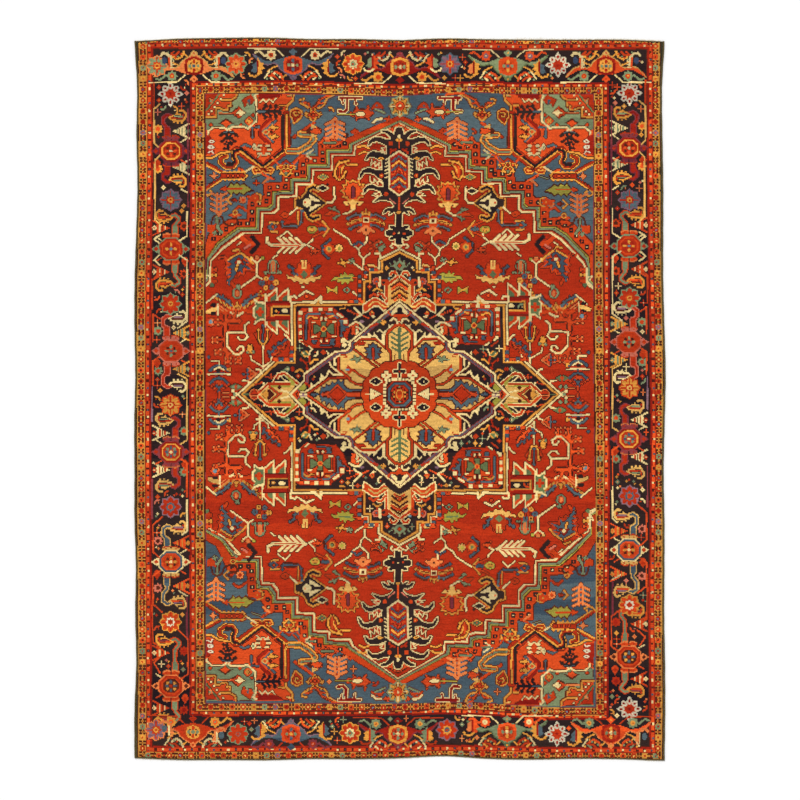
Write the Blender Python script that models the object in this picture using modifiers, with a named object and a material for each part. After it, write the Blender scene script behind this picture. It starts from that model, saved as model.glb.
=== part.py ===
"""A room-size Persian village rug, lying flat with its pile up.

The knotted body is one flat slab with an uneven, hand-woven outline. Each long side carries an
overcast selvedge cord, each end an overcast end cord, and beyond the end cords stand the short
cut ends of the warps, as flat locks on a narrow strip of bare foundation.

Metres, +Z up. The origin is on the floor under the rug's middle, +Y runs along the warps.
"""

import math
import random
from collections import namedtuple

import bmesh
import bpy

# Driving sizes
RUG_WIDTH = 2.664  # over both selvedges, where the rug is widest
RUG_LENGTH = 3.618  # over both end cords, where the rug is longest
BODY_THICKNESS = 0.009  # woven foundation with its worn pile
PILE_ROUNDING = 0.0022  # the pile leans out and wears round along the rim
SELVEDGE_WIDTH = 0.010
SELVEDGE_HEIGHT = 0.0095
END_CORD_WIDTH = 0.006
END_CORD_HEIGHT = 0.008
FRINGE_THICKNESS = 0.0018
FRINGE_STRIP = 0.0025  # bare foundation between the end cord and the loose warp ends
SEAM_GAP = 0.0003  # between neighbouring pieces

# The selvedge draws the edge in between its stitches, so the long sides ripple a little.
RIPPLE_DEPTH = 0.0012
RIPPLE_PITCH = 0.118

SIDE_STEPS = 92  # straight steps along each long side
END_STEPS = 68  # straight steps along each end
LOCKS_PER_END = 132
LOCK_LENGTH_SPREAD = 0.35  # how far a lock's length strays from the table's
LOCK_LEAN = 0.0016  # how far a tip leans to either side
FRINGE_SEED = 11

# How far the rug's edge lies inside its widest and longest lines, in millimetres.
Side = namedtuple("Side", "y left right")
SIDES = [
    Side(-1.80, 2, 7),
    Side(-1.56, 2, 4),
    Side(-1.32, 11, 5),
    Side(-1.08, 6, 9),
    Side(-0.84, 9, 8),
    Side(-0.60, 2, 8),
    Side(-0.36, 2, 12),
    Side(-0.12, 1, 7),
    Side(0.12, 6, 2),
    Side(0.36, 2, 8),
    Side(0.60, 3, 14),
    Side(0.84, 11, 14),
    Side(1.08, 17, 14),
    Side(1.32, 12, 18),
    Side(1.56, 15, 20),
    Side(1.80, 2, 7),
]

# The ends' insets, and how far the warp ends stand out of each end cord, in millimetres.
End = namedtuple("End", "x top bottom top_fringe bottom_fringe")
ENDS = [
    End(-1.32, 18, 12, 7, 8),
    End(-1.10, 7, 4, 6, 8),
    End(-0.88, 3, 4, 5, 6),
    End(-0.66, 2, 3, 7, 5),
    End(-0.44, 9, 9, 5, 5),
    End(-0.22, 9, 8, 5, 5),
    End(0.00, 14, 13, 5, 9),
    End(0.22, 6, 23, 5, 5),
    End(0.44, 10, 10, 6, 5),
    End(0.66, 12, 6, 12, 5),
    End(0.88, 12, 10, 9, 5),
    End(1.10, 12, 8, 9, 5),
    End(1.32, 20, 0, 9, 9),
]

# Colour (linear), roughness
FINISHES = {
    "pile": ((0.42, 0.045, 0.015, 1.0), 0.95),
    "overcast_wool": ((0.035, 0.035, 0.02, 1.0), 0.9),
    "cotton_warp": ((0.72, 0.64, 0.42, 1.0), 0.9),
}


def smooth(stations, column, at):
    """The table's column at a place, on a Catmull-Rom curve through its evenly spaced stations."""
    first, step = stations[0][0], stations[1][0] - stations[0][0]
    place = min(max((at - first) / step, 0.0), len(stations) - 1.0)
    i = min(int(place), len(stations) - 2)
    t = place - i
    a, b, c, d = (
        getattr(stations[min(max(k, 0), len(stations) - 1)], column) for k in range(i - 1, i + 3)
    )
    return b + 0.5 * t * (c - a + t * (2 * a - 5 * b + 4 * c - d + t * (3 * (b - c) + d - a)))


def side_x(side, y, inward=0.0):
    """X of a long side's outline at height y, moved inward. side is -1 for left and 1 for right."""
    column = "left" if side < 0 else "right"
    ripple = RIPPLE_DEPTH * (1 - math.cos(2 * math.pi * (y / RIPPLE_PITCH + 0.3 * side))) / 2
    return side * (RUG_WIDTH / 2 - smooth(SIDES, column, y) / 1000 - ripple - inward)


def end_y(end, x, inward=0.0):
    """Y of an end's outline at x, moved inward. end is -1 for the bottom and 1 for the top."""
    column = "bottom" if end < 0 else "top"
    return end * (RUG_LENGTH / 2 - smooth(ENDS, column, x) / 1000 - inward)


def corner(side, end, side_inward, end_inward):
    """Where a side's inset line meets an end's, found by turns on the two curves."""
    x = side * RUG_WIDTH / 2
    for _ in range(4):
        y = end_y(end, x, end_inward)
        x = side_x(side, y, side_inward)
    return x, y


def side_line(side, side_inward, end_inward):
    """Points up a long side's inset line, from the bottom end's inset line to the top's."""
    low = corner(side, -1, side_inward, end_inward)[1]
    high = corner(side, 1, side_inward, end_inward)[1]
    heights = [low + (high - low) * i / SIDE_STEPS for i in range(SIDE_STEPS + 1)]
    return [(side_x(side, y, side_inward), y) for y in heights]


def end_line(end, side_inward, end_inward):
    """Points along an end's inset line, from the left side's inset line to the right's."""
    left = corner(-1, end, side_inward, end_inward)[0]
    right = corner(1, end, side_inward, end_inward)[0]
    places = [left + (right - left) * i / END_STEPS for i in range(END_STEPS + 1)]
    return [(x, end_y(end, x, end_inward)) for x in places]


def finish(obj, slot):
    """Gives an object its material."""
    material = bpy.data.materials.get(slot)
    if material is None:
        colour, roughness = FINISHES[slot]
        material = bpy.data.materials.new(slot)
        material.use_nodes = True
        shader = material.node_tree.nodes["Principled BSDF"]
        shader.inputs["Base Color"].default_value = colour
        shader.inputs["Roughness"].default_value = roughness
        shader.inputs["Metallic"].default_value = 0.0
    obj.data.materials.append(material)


def slab(name, outline, thickness, collection):
    """A flat plate standing on the floor: the outline as one face, drawn up to its thickness."""
    made = bmesh.new()
    face = made.faces.new([made.verts.new((x, y, 0.0)) for x, y in outline])
    drawn = bmesh.ops.extrude_face_region(made, geom=[face])
    raised = [v for v in drawn["geom"] if isinstance(v, bmesh.types.BMVert)]
    bmesh.ops.translate(made, verts=raised, vec=(0.0, 0.0, thickness))
    bmesh.ops.recalc_face_normals(made, faces=made.faces)
    mesh = bpy.data.meshes.new(name)
    made.to_mesh(mesh)
    made.free()
    obj = bpy.data.objects.new(name, mesh)
    collection.objects.link(obj)
    return obj


def rug_body(collection):
    """The knotted body: one slab, its upper rim rounded where the pile wears."""
    side_in, end_in = SELVEDGE_WIDTH + SEAM_GAP, END_CORD_WIDTH + SEAM_GAP
    bottom = end_line(-1, side_in, end_in)
    right = side_line(1, side_in, end_in)
    top = end_line(1, side_in, end_in)
    left = side_line(-1, side_in, end_in)
    outline = bottom + right[1:-1] + top[::-1] + left[::-1][1:-1]
    obj = slab("rug_body", outline, BODY_THICKNESS, collection)
    weights = obj.data.attributes.new("bevel_weight_edge", "FLOAT", "EDGE")
    for edge in obj.data.edges:
        on_top = all(obj.data.vertices[v].co.z > BODY_THICKNESS / 2 for v in edge.vertices)
        weights.data[edge.index].value = 1.0 if on_top else 0.0
    bevel = obj.modifiers.new("worn_rim", "BEVEL")
    bevel.limit_method = "WEIGHT"
    bevel.width = PILE_ROUNDING
    bevel.segments = 2
    finish(obj, "pile")
    return obj


def cord_profile(name, width, height, collection):
    """The oval section of an overcast cord, flat underneath, as a closed curve for bevelling."""
    curve = bpy.data.curves.new(name, "CURVE")
    curve.dimensions = "2D"
    section = [
        (0.34, 0.0), (-0.34, 0.0), (-0.5, 0.22), (-0.5, 0.62), (-0.3, 0.93), (0.0, 1.0),
        (0.3, 0.93), (0.5, 0.62), (0.5, 0.22),
    ]
    spline = curve.splines.new("POLY")
    spline.points.add(len(section) - 1)
    for point, (across, up) in zip(spline.points, section):
        point.co = (across * width, up * height, 0.0, 1.0)
    spline.use_cyclic_u = True
    obj = bpy.data.objects.new(name, curve)
    obj.hide_render = True
    obj.display_type = "WIRE"
    collection.objects.link(obj)
    return obj


def overcast_cord(name, line, profile, collection):
    """A cord with the given section, lying on the floor along a line of points."""
    curve = bpy.data.curves.new(name, "CURVE")
    curve.dimensions = "2D"
    curve.bevel_mode = "OBJECT"
    curve.bevel_object = profile
    curve.use_fill_caps = True
    spline = curve.splines.new("POLY")
    spline.points.add(len(line) - 1)
    for point, (x, y) in zip(spline.points, line):
        point.co = (x, y, 0.0, 1.0)
    obj = bpy.data.objects.new(name, curve)
    collection.objects.link(obj)
    finish(obj, "overcast_wool")
    return obj


def selvedges(collection, helpers):
    """The two side cords, from the outer line of one end cord to the other's."""
    profile = cord_profile("selvedge_section", SELVEDGE_WIDTH, SELVEDGE_HEIGHT, helpers)
    for side, name in ((-1, "selvedge_left"), (1, "selvedge_right")):
        overcast_cord(name, side_line(side, SELVEDGE_WIDTH / 2, 0.0), profile, collection)


def end_cords(collection, helpers):
    """The two end cords, between the selvedges."""
    profile = cord_profile("end_cord_section", END_CORD_WIDTH, END_CORD_HEIGHT, helpers)
    for end, name in ((-1, "end_cord_bottom"), (1, "end_cord_top")):
        line = end_line(end, SELVEDGE_WIDTH + 2 * SEAM_GAP, END_CORD_WIDTH / 2)
        overcast_cord(name, line, profile, collection)


def fringe_outline(end, column, seed):
    """The strip's inner line, then back along its outer line with a tapering lock at each step."""
    draw = random.Random(seed)
    inner = end_line(end, SELVEDGE_WIDTH, -SEAM_GAP)
    left, right = inner[0][0], inner[-1][0]
    pitch = (right - left) / LOCKS_PER_END
    outer = []
    for i in range(LOCKS_PER_END):
        root = left + (i + 0.5) * pitch
        usual = smooth(ENDS, column, root) / 1000
        length = usual * (1 + LOCK_LENGTH_SPREAD * draw.uniform(-1, 1))
        half_root = pitch * draw.uniform(0.30, 0.42)
        half_tip = half_root * draw.uniform(0.25, 0.6)
        tip = root + LOCK_LEAN * draw.uniform(-1, 1)
        for x, out in (
            (root - half_root, FRINGE_STRIP),
            (tip - half_tip, max(length, FRINGE_STRIP + 0.001)),
            (tip + half_tip, max(length, FRINGE_STRIP + 0.001) * 0.94),
            (root + half_root, FRINGE_STRIP),
        ):
            outer.append((x, end_y(end, x, -SEAM_GAP - out)))
    first = (left, end_y(end, left, -SEAM_GAP - FRINGE_STRIP))
    last = (right, end_y(end, right, -SEAM_GAP - FRINGE_STRIP))
    return inner + [last] + outer[::-1] + [first]


def fringes(collection):
    """The cut warp ends at both ends of the rug, resting flat on the floor."""
    for end, column, name in (
        (-1, "bottom_fringe", "fringe_bottom"),
        (1, "top_fringe", "fringe_top"),
    ):
        outline = fringe_outline(end, column, FRINGE_SEED + end)
        finish(slab(name, outline, FRINGE_THICKNESS, collection), "cotton_warp")


def main():
    for obj in list(bpy.data.objects):
        bpy.data.objects.remove(obj, do_unlink=True)
    rug = bpy.data.collections.new("persian_rug")
    helpers = bpy.data.collections.new("sections")
    for collection in (rug, helpers):
        bpy.context.scene.collection.children.link(collection)
    rug_body(rug)
    selvedges(rug, helpers)
    end_cords(rug, helpers)
    fringes(rug)


main()
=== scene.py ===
"""Dresses the rug: foundation, knotted pile with the whole design, bound sides and ends, and cut warps."""
import math
import re
import bpy
import numpy as np
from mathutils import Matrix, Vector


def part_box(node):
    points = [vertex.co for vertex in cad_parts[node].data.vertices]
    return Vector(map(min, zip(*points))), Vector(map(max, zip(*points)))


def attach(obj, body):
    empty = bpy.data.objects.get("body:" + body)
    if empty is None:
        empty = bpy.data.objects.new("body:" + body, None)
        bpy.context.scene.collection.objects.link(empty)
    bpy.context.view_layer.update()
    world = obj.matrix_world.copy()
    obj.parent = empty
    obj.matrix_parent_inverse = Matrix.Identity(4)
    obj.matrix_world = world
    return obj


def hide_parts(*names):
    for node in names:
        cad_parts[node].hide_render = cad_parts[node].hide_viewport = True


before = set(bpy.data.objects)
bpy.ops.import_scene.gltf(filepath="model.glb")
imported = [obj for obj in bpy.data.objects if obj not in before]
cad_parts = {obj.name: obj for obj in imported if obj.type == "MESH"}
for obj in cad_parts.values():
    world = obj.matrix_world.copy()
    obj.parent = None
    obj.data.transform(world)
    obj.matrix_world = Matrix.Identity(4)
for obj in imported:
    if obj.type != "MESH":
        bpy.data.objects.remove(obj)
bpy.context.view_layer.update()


# ---------------------------------------------------------------------------------------------------------
# Foundation. The cotton warps and wefts that carry the rug, seen only from below, where each knot shows as
# a small worn-in loop. It is woven on a loom that slackens, so its four edges are a little uneven.
FOUNDATION = 0.003  # thickness of the cloth with the backs of the knots
BACK_PITCH = 0.020  # four knots, the finest step in which the back is drawn
BACK_GAP = 0.0002  # from the foundation's upper side to the foot of the pile
ON_FLOOR = 0.0001  # a CAD point lower than this stands on the floor

rng = np.random.default_rng(24)


def footprint(node):
    """The points of a CAD piece that stand on the floor, as x and y."""
    corners = np.array([v.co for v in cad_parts[node].data.vertices])
    return np.unique(corners[corners[:, 2] < ON_FLOOR].round(6), axis=0)[:, :2]


def edge_lines(node):
    """The four edges of a flat CAD piece: its lowest points in order round the middle, cut at the four that
    reach furthest towards the corners. Left and right run up, bottom and top run to the right."""
    ring = footprint(node)
    ring = ring[np.argsort(np.arctan2(ring[:, 1], ring[:, 0]))]
    ring = np.roll(ring, -int(np.argmin(ring.sum(1))), axis=0)
    low_right, high_right, high_left = (
        int(np.argmax(ring @ np.array(way))) for way in ((1, -1), (1, 1), (-1, 1))
    )
    ring = np.vstack([ring, ring[:1]])
    bottom, right = ring[: low_right + 1], ring[low_right : high_right + 1]
    top, left = ring[high_right : high_left + 1][::-1], ring[high_left:][::-1]
    return left, right, bottom, top


def evenly(line, count):
    """count points spread evenly by length along a line."""
    length = np.concatenate([[0], np.cumsum(np.linalg.norm(np.diff(line, axis=0), axis=1))])
    at = np.linspace(0, length[-1], count)
    return np.stack([np.interp(at, length, line[:, k]) for k in (0, 1)], 1)


def between_edges(edges, rows, columns):
    """A grid of points inside four uneven edges: each point is the blend of the side points level with it,
    plus the blend of the end points above and below it, less the blend of the four corners."""
    left, right = (evenly(line, rows)[:, None] for line in edges[:2])
    bottom, top = (evenly(line, columns)[None] for line in edges[2:])
    s = np.linspace(0, 1, columns)[None, :, None]
    t = np.linspace(0, 1, rows)[:, None, None]
    corners = (1 - t) * ((1 - s) * left[:1] + s * right[:1]) + t * ((1 - s) * left[-1:] + s * right[-1:])
    return (1 - s) * left + s * right + (1 - t) * bottom + t * top - corners


def put_in(name, points, corners, starts):
    """A new piece, from its points, the point numbers of its faces in one row, and where each face starts."""
    mesh = bpy.data.meshes.new(name)
    mesh.vertices.add(len(points))
    mesh.vertices.foreach_set("co", points.astype(np.float32).ravel())
    mesh.loops.add(len(corners))
    mesh.loops.foreach_set("vertex_index", corners.astype(np.int32))
    mesh.polygons.add(len(starts))
    mesh.polygons.foreach_set("loop_start", starts.astype(np.int32))
    mesh.update(calc_edges=True)
    piece = bpy.data.objects.new(name, mesh)
    bpy.context.scene.collection.objects.link(piece)
    return piece


def slab(name, points, floor, facing, **marks):
    """A closed flat piece: a grid of points is its worked face, a wall runs down (facing 1) or up (-1) from
    the grid's rim to the height floor, and one flat face closes it. Marks are numbers that each quad keeps
    for its material, and that the wall takes over from the quads beside it."""
    rows, columns = points.shape[:2]
    at = np.arange(rows * columns).reshape(rows, columns)
    quads = np.stack([at[:-1, :-1], at[:-1, 1:], at[1:, 1:], at[1:, :-1]], -1).reshape(-1, 4)
    rim = np.concatenate([at[0, :-1], at[:-1, -1], at[-1, :0:-1], at[:0:-1, 0]])
    under = rows * columns + np.arange(len(rim))
    wall = np.stack([rim, under, np.roll(under, -1), np.roll(rim, -1)], -1)
    below = points.reshape(-1, 3)[rim].copy()
    below[:, 2] = floor
    faces = np.concatenate([quads, wall])[:, ::facing]
    corners = np.concatenate([faces.ravel(), under[:: -facing]])
    every_point = np.concatenate([points.reshape(-1, 3), below])
    piece = put_in(name, every_point, corners, np.arange(0, 4 * len(faces) + 1, 4))
    for mark, grid in marks.items():
        wall_marks = np.concatenate([grid[0], grid[:, -1], grid[-1, ::-1], grid[::-1, 0], grid[:1, 0]])
        values = np.concatenate([grid.ravel(), wall_marks]).astype(np.float32)
        piece.data.attributes.new(mark, "FLOAT", "FACE").data.foreach_set("value", values)
    return piece


body_edges = edge_lines("rug_body")
body_low, body_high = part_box("rug_body")


# ---------------------------------------------------------------------------------------------------------
# Pile. About 380,000 wool knots, each tied round two warps and sheared to one height. The weaver ties them
# row by row in some twenty dyes, and the design below is drawn on that lattice of knots, with every
# place and size counted in knots from the middle of the rug.
KNOT = 0.005
PILE_TOP = body_high.z
knots_across = round((body_high.x - body_low.x) / KNOT)
knots_along = round((body_high.y - body_low.y) / KNOT)
lattice = between_edges(body_edges, knots_along + 1, knots_across + 1)
middles = (lattice[1:, 1:] + lattice[:-1, 1:] + lattice[1:, :-1] + lattice[:-1, :-1]) / 4
knot_x, knot_y = middles[..., 0] / KNOT, middles[..., 1] / KNOT
chart = np.zeros(knot_x.shape, np.uint8)

# The dyes, as red, green and blue of 255
DYES = {
    "brick": (191, 45, 15),
    "rust": (207, 61, 19),
    "madder": (160, 26, 14),
    "orange": (235, 78, 28),
    "salmon": (240, 128, 66),
    "gold": (236, 156, 60),
    "ochre": (212, 144, 58),
    "straw": (240, 182, 94),
    "honey": (236, 182, 96),
    "cream": (250, 220, 150),
    "ivory": (232, 218, 184),
    "sage": (126, 140, 102),
    "moss": (104, 120, 76),
    "leaf": (172, 160, 60),
    "slate": (74, 93, 104),
    "sky": (112, 146, 158),
    "indigo": (52, 66, 96),
    "navy": (40, 26, 28),
    "mulberry": (134, 50, 58),
    "mauve": (142, 104, 116),
    "pink": (216, 112, 88),
    "brown": (84, 30, 18),
    "olive": (74, 68, 40),
}
DYE_NUMBER = {dye: number for number, dye in enumerate(DYES)}


def inside(points, u, v):
    """True where (u, v) lies inside an outline: a level line from it crosses the outline an odd number of
    times."""
    odd = np.zeros(u.shape, bool)
    for (u0, v0), (u1, v1) in zip(points, np.roll(points, -1, axis=0)):
        if v0 != v1:
            odd ^= ((v0 > v) != (v1 > v)) & (u < u0 + (v - v0) * (u1 - u0) / (v1 - v0))
    return odd


def apart(points, u, v):
    """Distance of (u, v) from a line through points: the least distance from any of its straight runs."""
    nearest = np.hypot(*(np.stack([u, v]) - points[0][:, None, None]))
    for (u0, v0), (u1, v1) in zip(points, points[1:]):
        du, dv = u1 - u0, v1 - v0
        share = np.clip(((u - u0) * du + (v - v0) * dv) / max(du * du + dv * dv, 1e-9), 0, 1)
        nearest = np.minimum(nearest, np.hypot(u - u0 - share * du, v - v0 - share * dv))
    return nearest


def spelled(text):
    """The points of a text such as "0,6 3,5.5"."""
    return np.array([pair.split(",") for pair in text.split()], float)


# Strokes are written in words, one kind and dye to a row: copies and kind, number, dye, and points as u,v.
# An upright bar parts one stroke's points from the next one's, and "x6 0,-3" at the end of a stroke's points
# draws it six times, each three knots below the last.
STROKE = re.compile(r"([+=#*@]?)([a-z]+):?([\d./]*)\s+([\w/]+)((?:\s+(?:\||x\d+|-?[\d.]+,-?[\d.]+))+)")
USUAL_NUMBER = {"line": "1.3", "dots": "1.6", "gem": "0.5"}
COPIES = {
    "": [(0, (1, 1))],
    "+": [(0, (1, 1)), (0, (-1, 1))],
    "=": [(0, (1, 1)), (0, (1, -1))],
    "#": [(0, (1, 1)), (0, (-1, 1)), (0, (1, -1)), (0, (-1, -1))],
    "*": [(90 * turn, (1, 1)) for turn in range(4)],
    "@": [(45 * turn, (1, 1)) for turn in range(8)],
}


def each_stroke(row):
    """The points of each stroke in a row, and how far that stroke is moved when it is a repeat."""
    for stroke in row.split("|"):
        points, _, repeat = stroke.partition("x")
        count, step = repeat.split() if repeat else (1, "0,0")
        for number in range(int(count)):
            yield spelled(points), number * spelled(step)


class Pen:
    """A place on the chart. From it u runs to the right and v up, in knots, before they are flipped and
    turned."""

    def __init__(self, x=0.0, y=0.0, turn=0.0, flip=(1, 1), axes=np.eye(2)):
        cos, sin = math.cos(math.radians(turn)), math.sin(math.radians(turn))
        self.place = np.array((x, y), float)
        self.axes = axes @ np.array([[cos, -sin], [sin, cos]]) @ np.diag(flip)

    def at(self, u=0.0, v=0.0, turn=0.0, flip=(1, 1)):
        """A pen for a part of the motif, placed in its u and v."""
        return Pen(*(self.place + self.axes @ (u, v)), turn, flip, self.axes)

    def tie(self, what, dye, points, number):
        """Ties the knots under one stroke with a dye.
        shape: a filled outline. line: a line of that width through the points. dots: dabs of that width.
        oval: a middle and two half widths. gem: an octagon of a middle and two half widths, number being the
        share cut off its corners, so that 1 leaves a diamond. petals: a middle, then a radius and how far it
        swells, number times round."""
        points = np.array(points, float)
        if what == "dots":
            for point in points:
                self.tie("line", dye, [point], number)
            return
        middle, size = points[0], points[-1]
        if what in ("oval", "gem", "petals"):
            round_what, reach = points[:1], size.sum() if what == "petals" else size.max()
        else:
            round_what, reach = points, number if what == "line" else 1
        box = self.place + round_what @ self.axes.T
        corner = np.array([knots_across, knots_along]) / 2
        left, down = np.maximum(box.min(0) - reach - 4 + corner, 0).astype(int)
        right, up = np.maximum(box.max(0) + reach + 4 + corner, 0).astype(int)
        offset = np.stack([knot_x[down:up, left:right], knot_y[down:up, left:right]], -1) - self.place
        u, v = np.moveaxis(offset @ np.linalg.inv(self.axes).T, -1, 0)
        if what == "shape":
            covered = inside(points, u, v)
        elif what == "line":
            covered = apart(points, u, v) <= number / 2
        elif what == "oval":
            covered = np.hypot((u - middle[0]) / size[0], (v - middle[1]) / size[1]) <= 1
        elif what == "gem":
            side, rise = np.abs(u - middle[0]) / size[0], np.abs(v - middle[1]) / size[1]
            covered = np.maximum(np.maximum(side, rise), (side + rise) / (2 - number)) <= 1
        else:
            turned = np.arctan2(u - middle[0], v - middle[1])
            covered = np.hypot(u - middle[0], v - middle[1]) <= size[0] + size[1] * np.cos(number * turned)
        chart[down:up, left:right][covered] = DYE_NUMBER[dye]

    def stroke(self, what, dye, points, number=1.3, copies=""):
        """A stroke and its copies: + on both sides of the v axis, = above and below the u axis, # in all four
        quarters, * four times round and @ eight times round."""
        for turn, flip in COPIES[copies]:
            self.at(turn=turn, flip=flip).tie(what, dye, points, number)

    def draw(self, text, *dyes):
        """Draws a motif from its text, in which 1, 2 and so on stand for the given dyes. A line can have
        several widths and dyes, each laid over the one before it. The word place moves and turns what comes
        after it."""
        pen = self
        for copies, what, numbers, names, row in STROKE.findall(text):
            names = [dyes[int(name) - 1] if name.isdigit() else name for name in names.split("/")]
            numbers = [float(number) for number in (numbers or USUAL_NUMBER.get(what, "0")).split("/")]
            for points, moved in each_stroke(row):
                points[:: 2 if what in ("oval", "gem") else 1] += moved
                if what == "place":
                    pen = self.at(*points[0], numbers[0])
                elif what == "flower":
                    pen.at(*points[0]).flower(numbers[0], *names)
                elif what in ("oval", "gem"):
                    for middle, size in zip(points[::2], points[1::2]):
                        pen.stroke(what, names[0], (middle, size), numbers[0], copies)
                else:
                    for number, name in zip(numbers, names):
                        pen.stroke(what, name, points, number, copies)

    def flower(self, radius, petals, heart, dot=None):
        """A small round flower."""
        self.tie("petals", petals, [(0, 0), (radius, 0.6)], 8)
        self.tie("oval", heart, [(0, 0), (radius / 2, radius / 2)], 0)
        if dot:
            self.tie("oval", dot, [(0, 0), (0.9, 0.9)], 0)


# The stripes of the border run round the rug and meet in mitres at its corners. Each column gives how far
# a stripe's middle lies from the middle of the rug, at stations along the sides and across the ends.
# Sides: y, then left and right of the outer guard, outer dots, inner dots, inner guard and field.
SIDES = np.array([
    (350, -257, 255.5, -250.5, 250.5, -206.5, 205.5, -200, 198.5, -194, 193.5),
    (240, -257, 255.5, -250.5, 250.5, -206.5, 205.5, -200, 198.5, -194, 193.5),
    (150, -258, 256.5, -251.5, 251.5, -206.8, 206.5, -200, 198.7, -194, 193.2),
    (70, -259, 258.5, -252.3, 253, -207.5, 206.5, -200, 199, -194, 193),
    (-50, -259, 259, -252.5, 254, -207.5, 206.5, -200, 200, -194, 194),
    (-110, -258.5, 258.5, -252, 253, -207.3, 206.3, -200, 200, -194, 195.5),
    (-200, -257.7, 258, -251.7, 252, -207, 205.5, -200, 200, -194, 195.5),
    (-350, -257.5, 258, -251.5, 253, -207, 205.5, -200, 200, -194, 195.5),
])
# Ends: x, then bottom and top of the same five.
ENDS = np.array([
    (-250, -356.5, 357.5, -350.5, 353.8, -314, 314.5, -308, 309.5, -304, 305),
    (-195, -356.5, 357.5, -350.5, 353.8, -314, 314.5, -308, 309.5, -304, 305),
    (-105, -356.5, 358, -350.5, 355, -314, 315.5, -308, 310.5, -304, 305),
    (-50, -356.5, 357, -350.5, 354, -313.5, 313.5, -308.5, 308.5, -304.5, 303),
    (-10, -356, 355.5, -350.5, 353, -313.5, 311.5, -308.5, 306.5, -304.5, 302.5),
    (20, -356, 356, -350, 353, -312.5, 312.5, -307.5, 307, -304, 304),
    (50, -354.5, 357.5, -349.5, 353.5, -312.3, 314, -306.5, 309.5, -303, 306.5),
    (80, -355, 357.5, -349.5, 353, -312.5, 314.5, -306.5, 310.5, -303.5, 306.5),
    (110, -356, 357.5, -350, 352.5, -315, 313.5, -309.5, 308, -305.5, 304.5),
    (150, -357, 357.5, -351.5, 352.5, -317.5, 313.5, -312.5, 308, -308, 304.5),
    (250, -357, 357.5, -351.5, 353.5, -317.5, 313.5, -312.5, 308.5, -308, 304.5),
])
STRIPES = ("outer guard", "outer dots", "inner dots", "inner guard", "field")


def ring(stripe):
    """How far each knot lies inside a stripe's middle line, and how far along that side of the rug it is."""
    place = 1 + 2 * STRIPES.index(stripe)
    low, high = (np.interp(-knot_y, -SIDES[:, 0], SIDES[:, place + k]) for k in (0, 1))
    down, up = (np.interp(knot_x, ENDS[:, 0], ENDS[:, place + k]) for k in (0, 1))
    inward = np.stack([knot_x - low, high - knot_x, knot_y - down, up - knot_y])
    return inward.min(0), np.where(inward.argmin(0) < 2, knot_y, knot_x)


def paint(where, dye):
    """Ties every knot where the mask is true."""
    chart[where] = DYE_NUMBER[dye]


# Ground of the border. Each dye starts so many knots inside a stripe's middle and runs on to the next.
chart[:] = DYE_NUMBER["olive"]
outer_guard, outer_along = ring("outer guard")
outer_dots, dots_along = ring("outer dots")
inner_dots, inner_along = ring("inner dots")
inner_guard, guard_along = ring("inner guard")
field = ring("field")[0]
GROUNDS = (
    (outer_guard, ((-5.0, "brown"), (-4.2, "ochre"), (4.2, "madder"))),
    (outer_dots, ((-2.6, "orange"), (2.2, "madder"), (3.2, "brown"), (4.2, "navy"))),
    (inner_dots, ((-3.4, "madder"), (-1.6, "orange"), (2.6, "madder"))),
    (inner_guard, ((-4.6, "brown"), (-4.0, "ochre"), (4.0, "brown"))),
    (field, ((-0.6, "mulberry"), (0.0, "brick"))),
)
for inward, dyes in GROUNDS:
    for start, dye in dyes:
        paint(inward > start, dye)

# Guards: a dark flower with four petals takes turns with a small round one, each in its own ochre cell.
CELL = 5.4
CELL_HALF_WIDTH = 4.0
PETAL_ACROSS, PETAL_ALONG, PETAL_RADIUS = 1.9, 1.45, 1.35
FLOWER_RADIUS, HEART_RADIUS = 2.7, 1.0
ROUND_FLOWERS = (
    ("brick", "madder"), ("rust", "straw"), ("brick", "slate"), ("mauve", "orange"), ("orange", "brown"),
    ("brick", "straw"), ("sage", "madder"), ("rust", "brown"), ("madder", "sky"), ("gold", "rust"),
)


def guard(across, along, shift):
    """A row of flower cells along a guard, by each knot's place across and along it. The kinds of round
    flower follow each other in an order that slips every nine cells."""
    cell = np.floor((along + shift) / CELL).astype(int)
    run = (along + shift) - (cell + 0.5) * CELL
    on_guard = np.abs(across) < CELL_HALF_WIDTH
    dark = cell % 2 == 0
    petal = np.hypot(np.abs(across) - PETAL_ACROSS, np.abs(run) - PETAL_ALONG) < PETAL_RADIUS
    paint(on_guard & dark & petal, "brown")
    paint(on_guard & dark & (np.abs(across) < 0.8) & (np.abs(run) < 0.6), "rust")
    far = np.hypot(across, run)
    for kind, (petals, heart) in enumerate(ROUND_FLOWERS):
        mine = on_guard & ~dark & ((cell // 2 * 7 + cell // 9) % len(ROUND_FLOWERS) == kind)
        paint(mine & (far < FLOWER_RADIUS), petals)
        paint(mine & (far < HEART_RADIUS), heart)


guard(outer_guard, outer_along, 1.0)
guard(inner_guard, guard_along, 3.0)

# Dotted stripes: a dark red thread on each side, and between them a cream dot, a blue one and a brown one in
# turn.
DOT_PITCH = 7.3
THREAD_AT, THREAD_HALF = 1.9, 0.5
for inward, along in ((outer_dots, dots_along), (inner_dots, inner_along)):
    dot = np.floor(along / DOT_PITCH).astype(int)
    near = np.abs(along - (dot + 0.5) * DOT_PITCH)
    paint(np.abs(np.abs(inward) - THREAD_AT) < THREAD_HALF, "madder")
    paint((np.abs(inward) < 1.2) & (near < 1.2), "brown")
    paint((np.abs(inward) < 1.0) & (near < 1.1) & (dot % 3 == 0), "cream")
    paint((np.abs(inward) < 0.8) & (near < 0.8) & (dot % 3 == 1), "slate")


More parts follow.
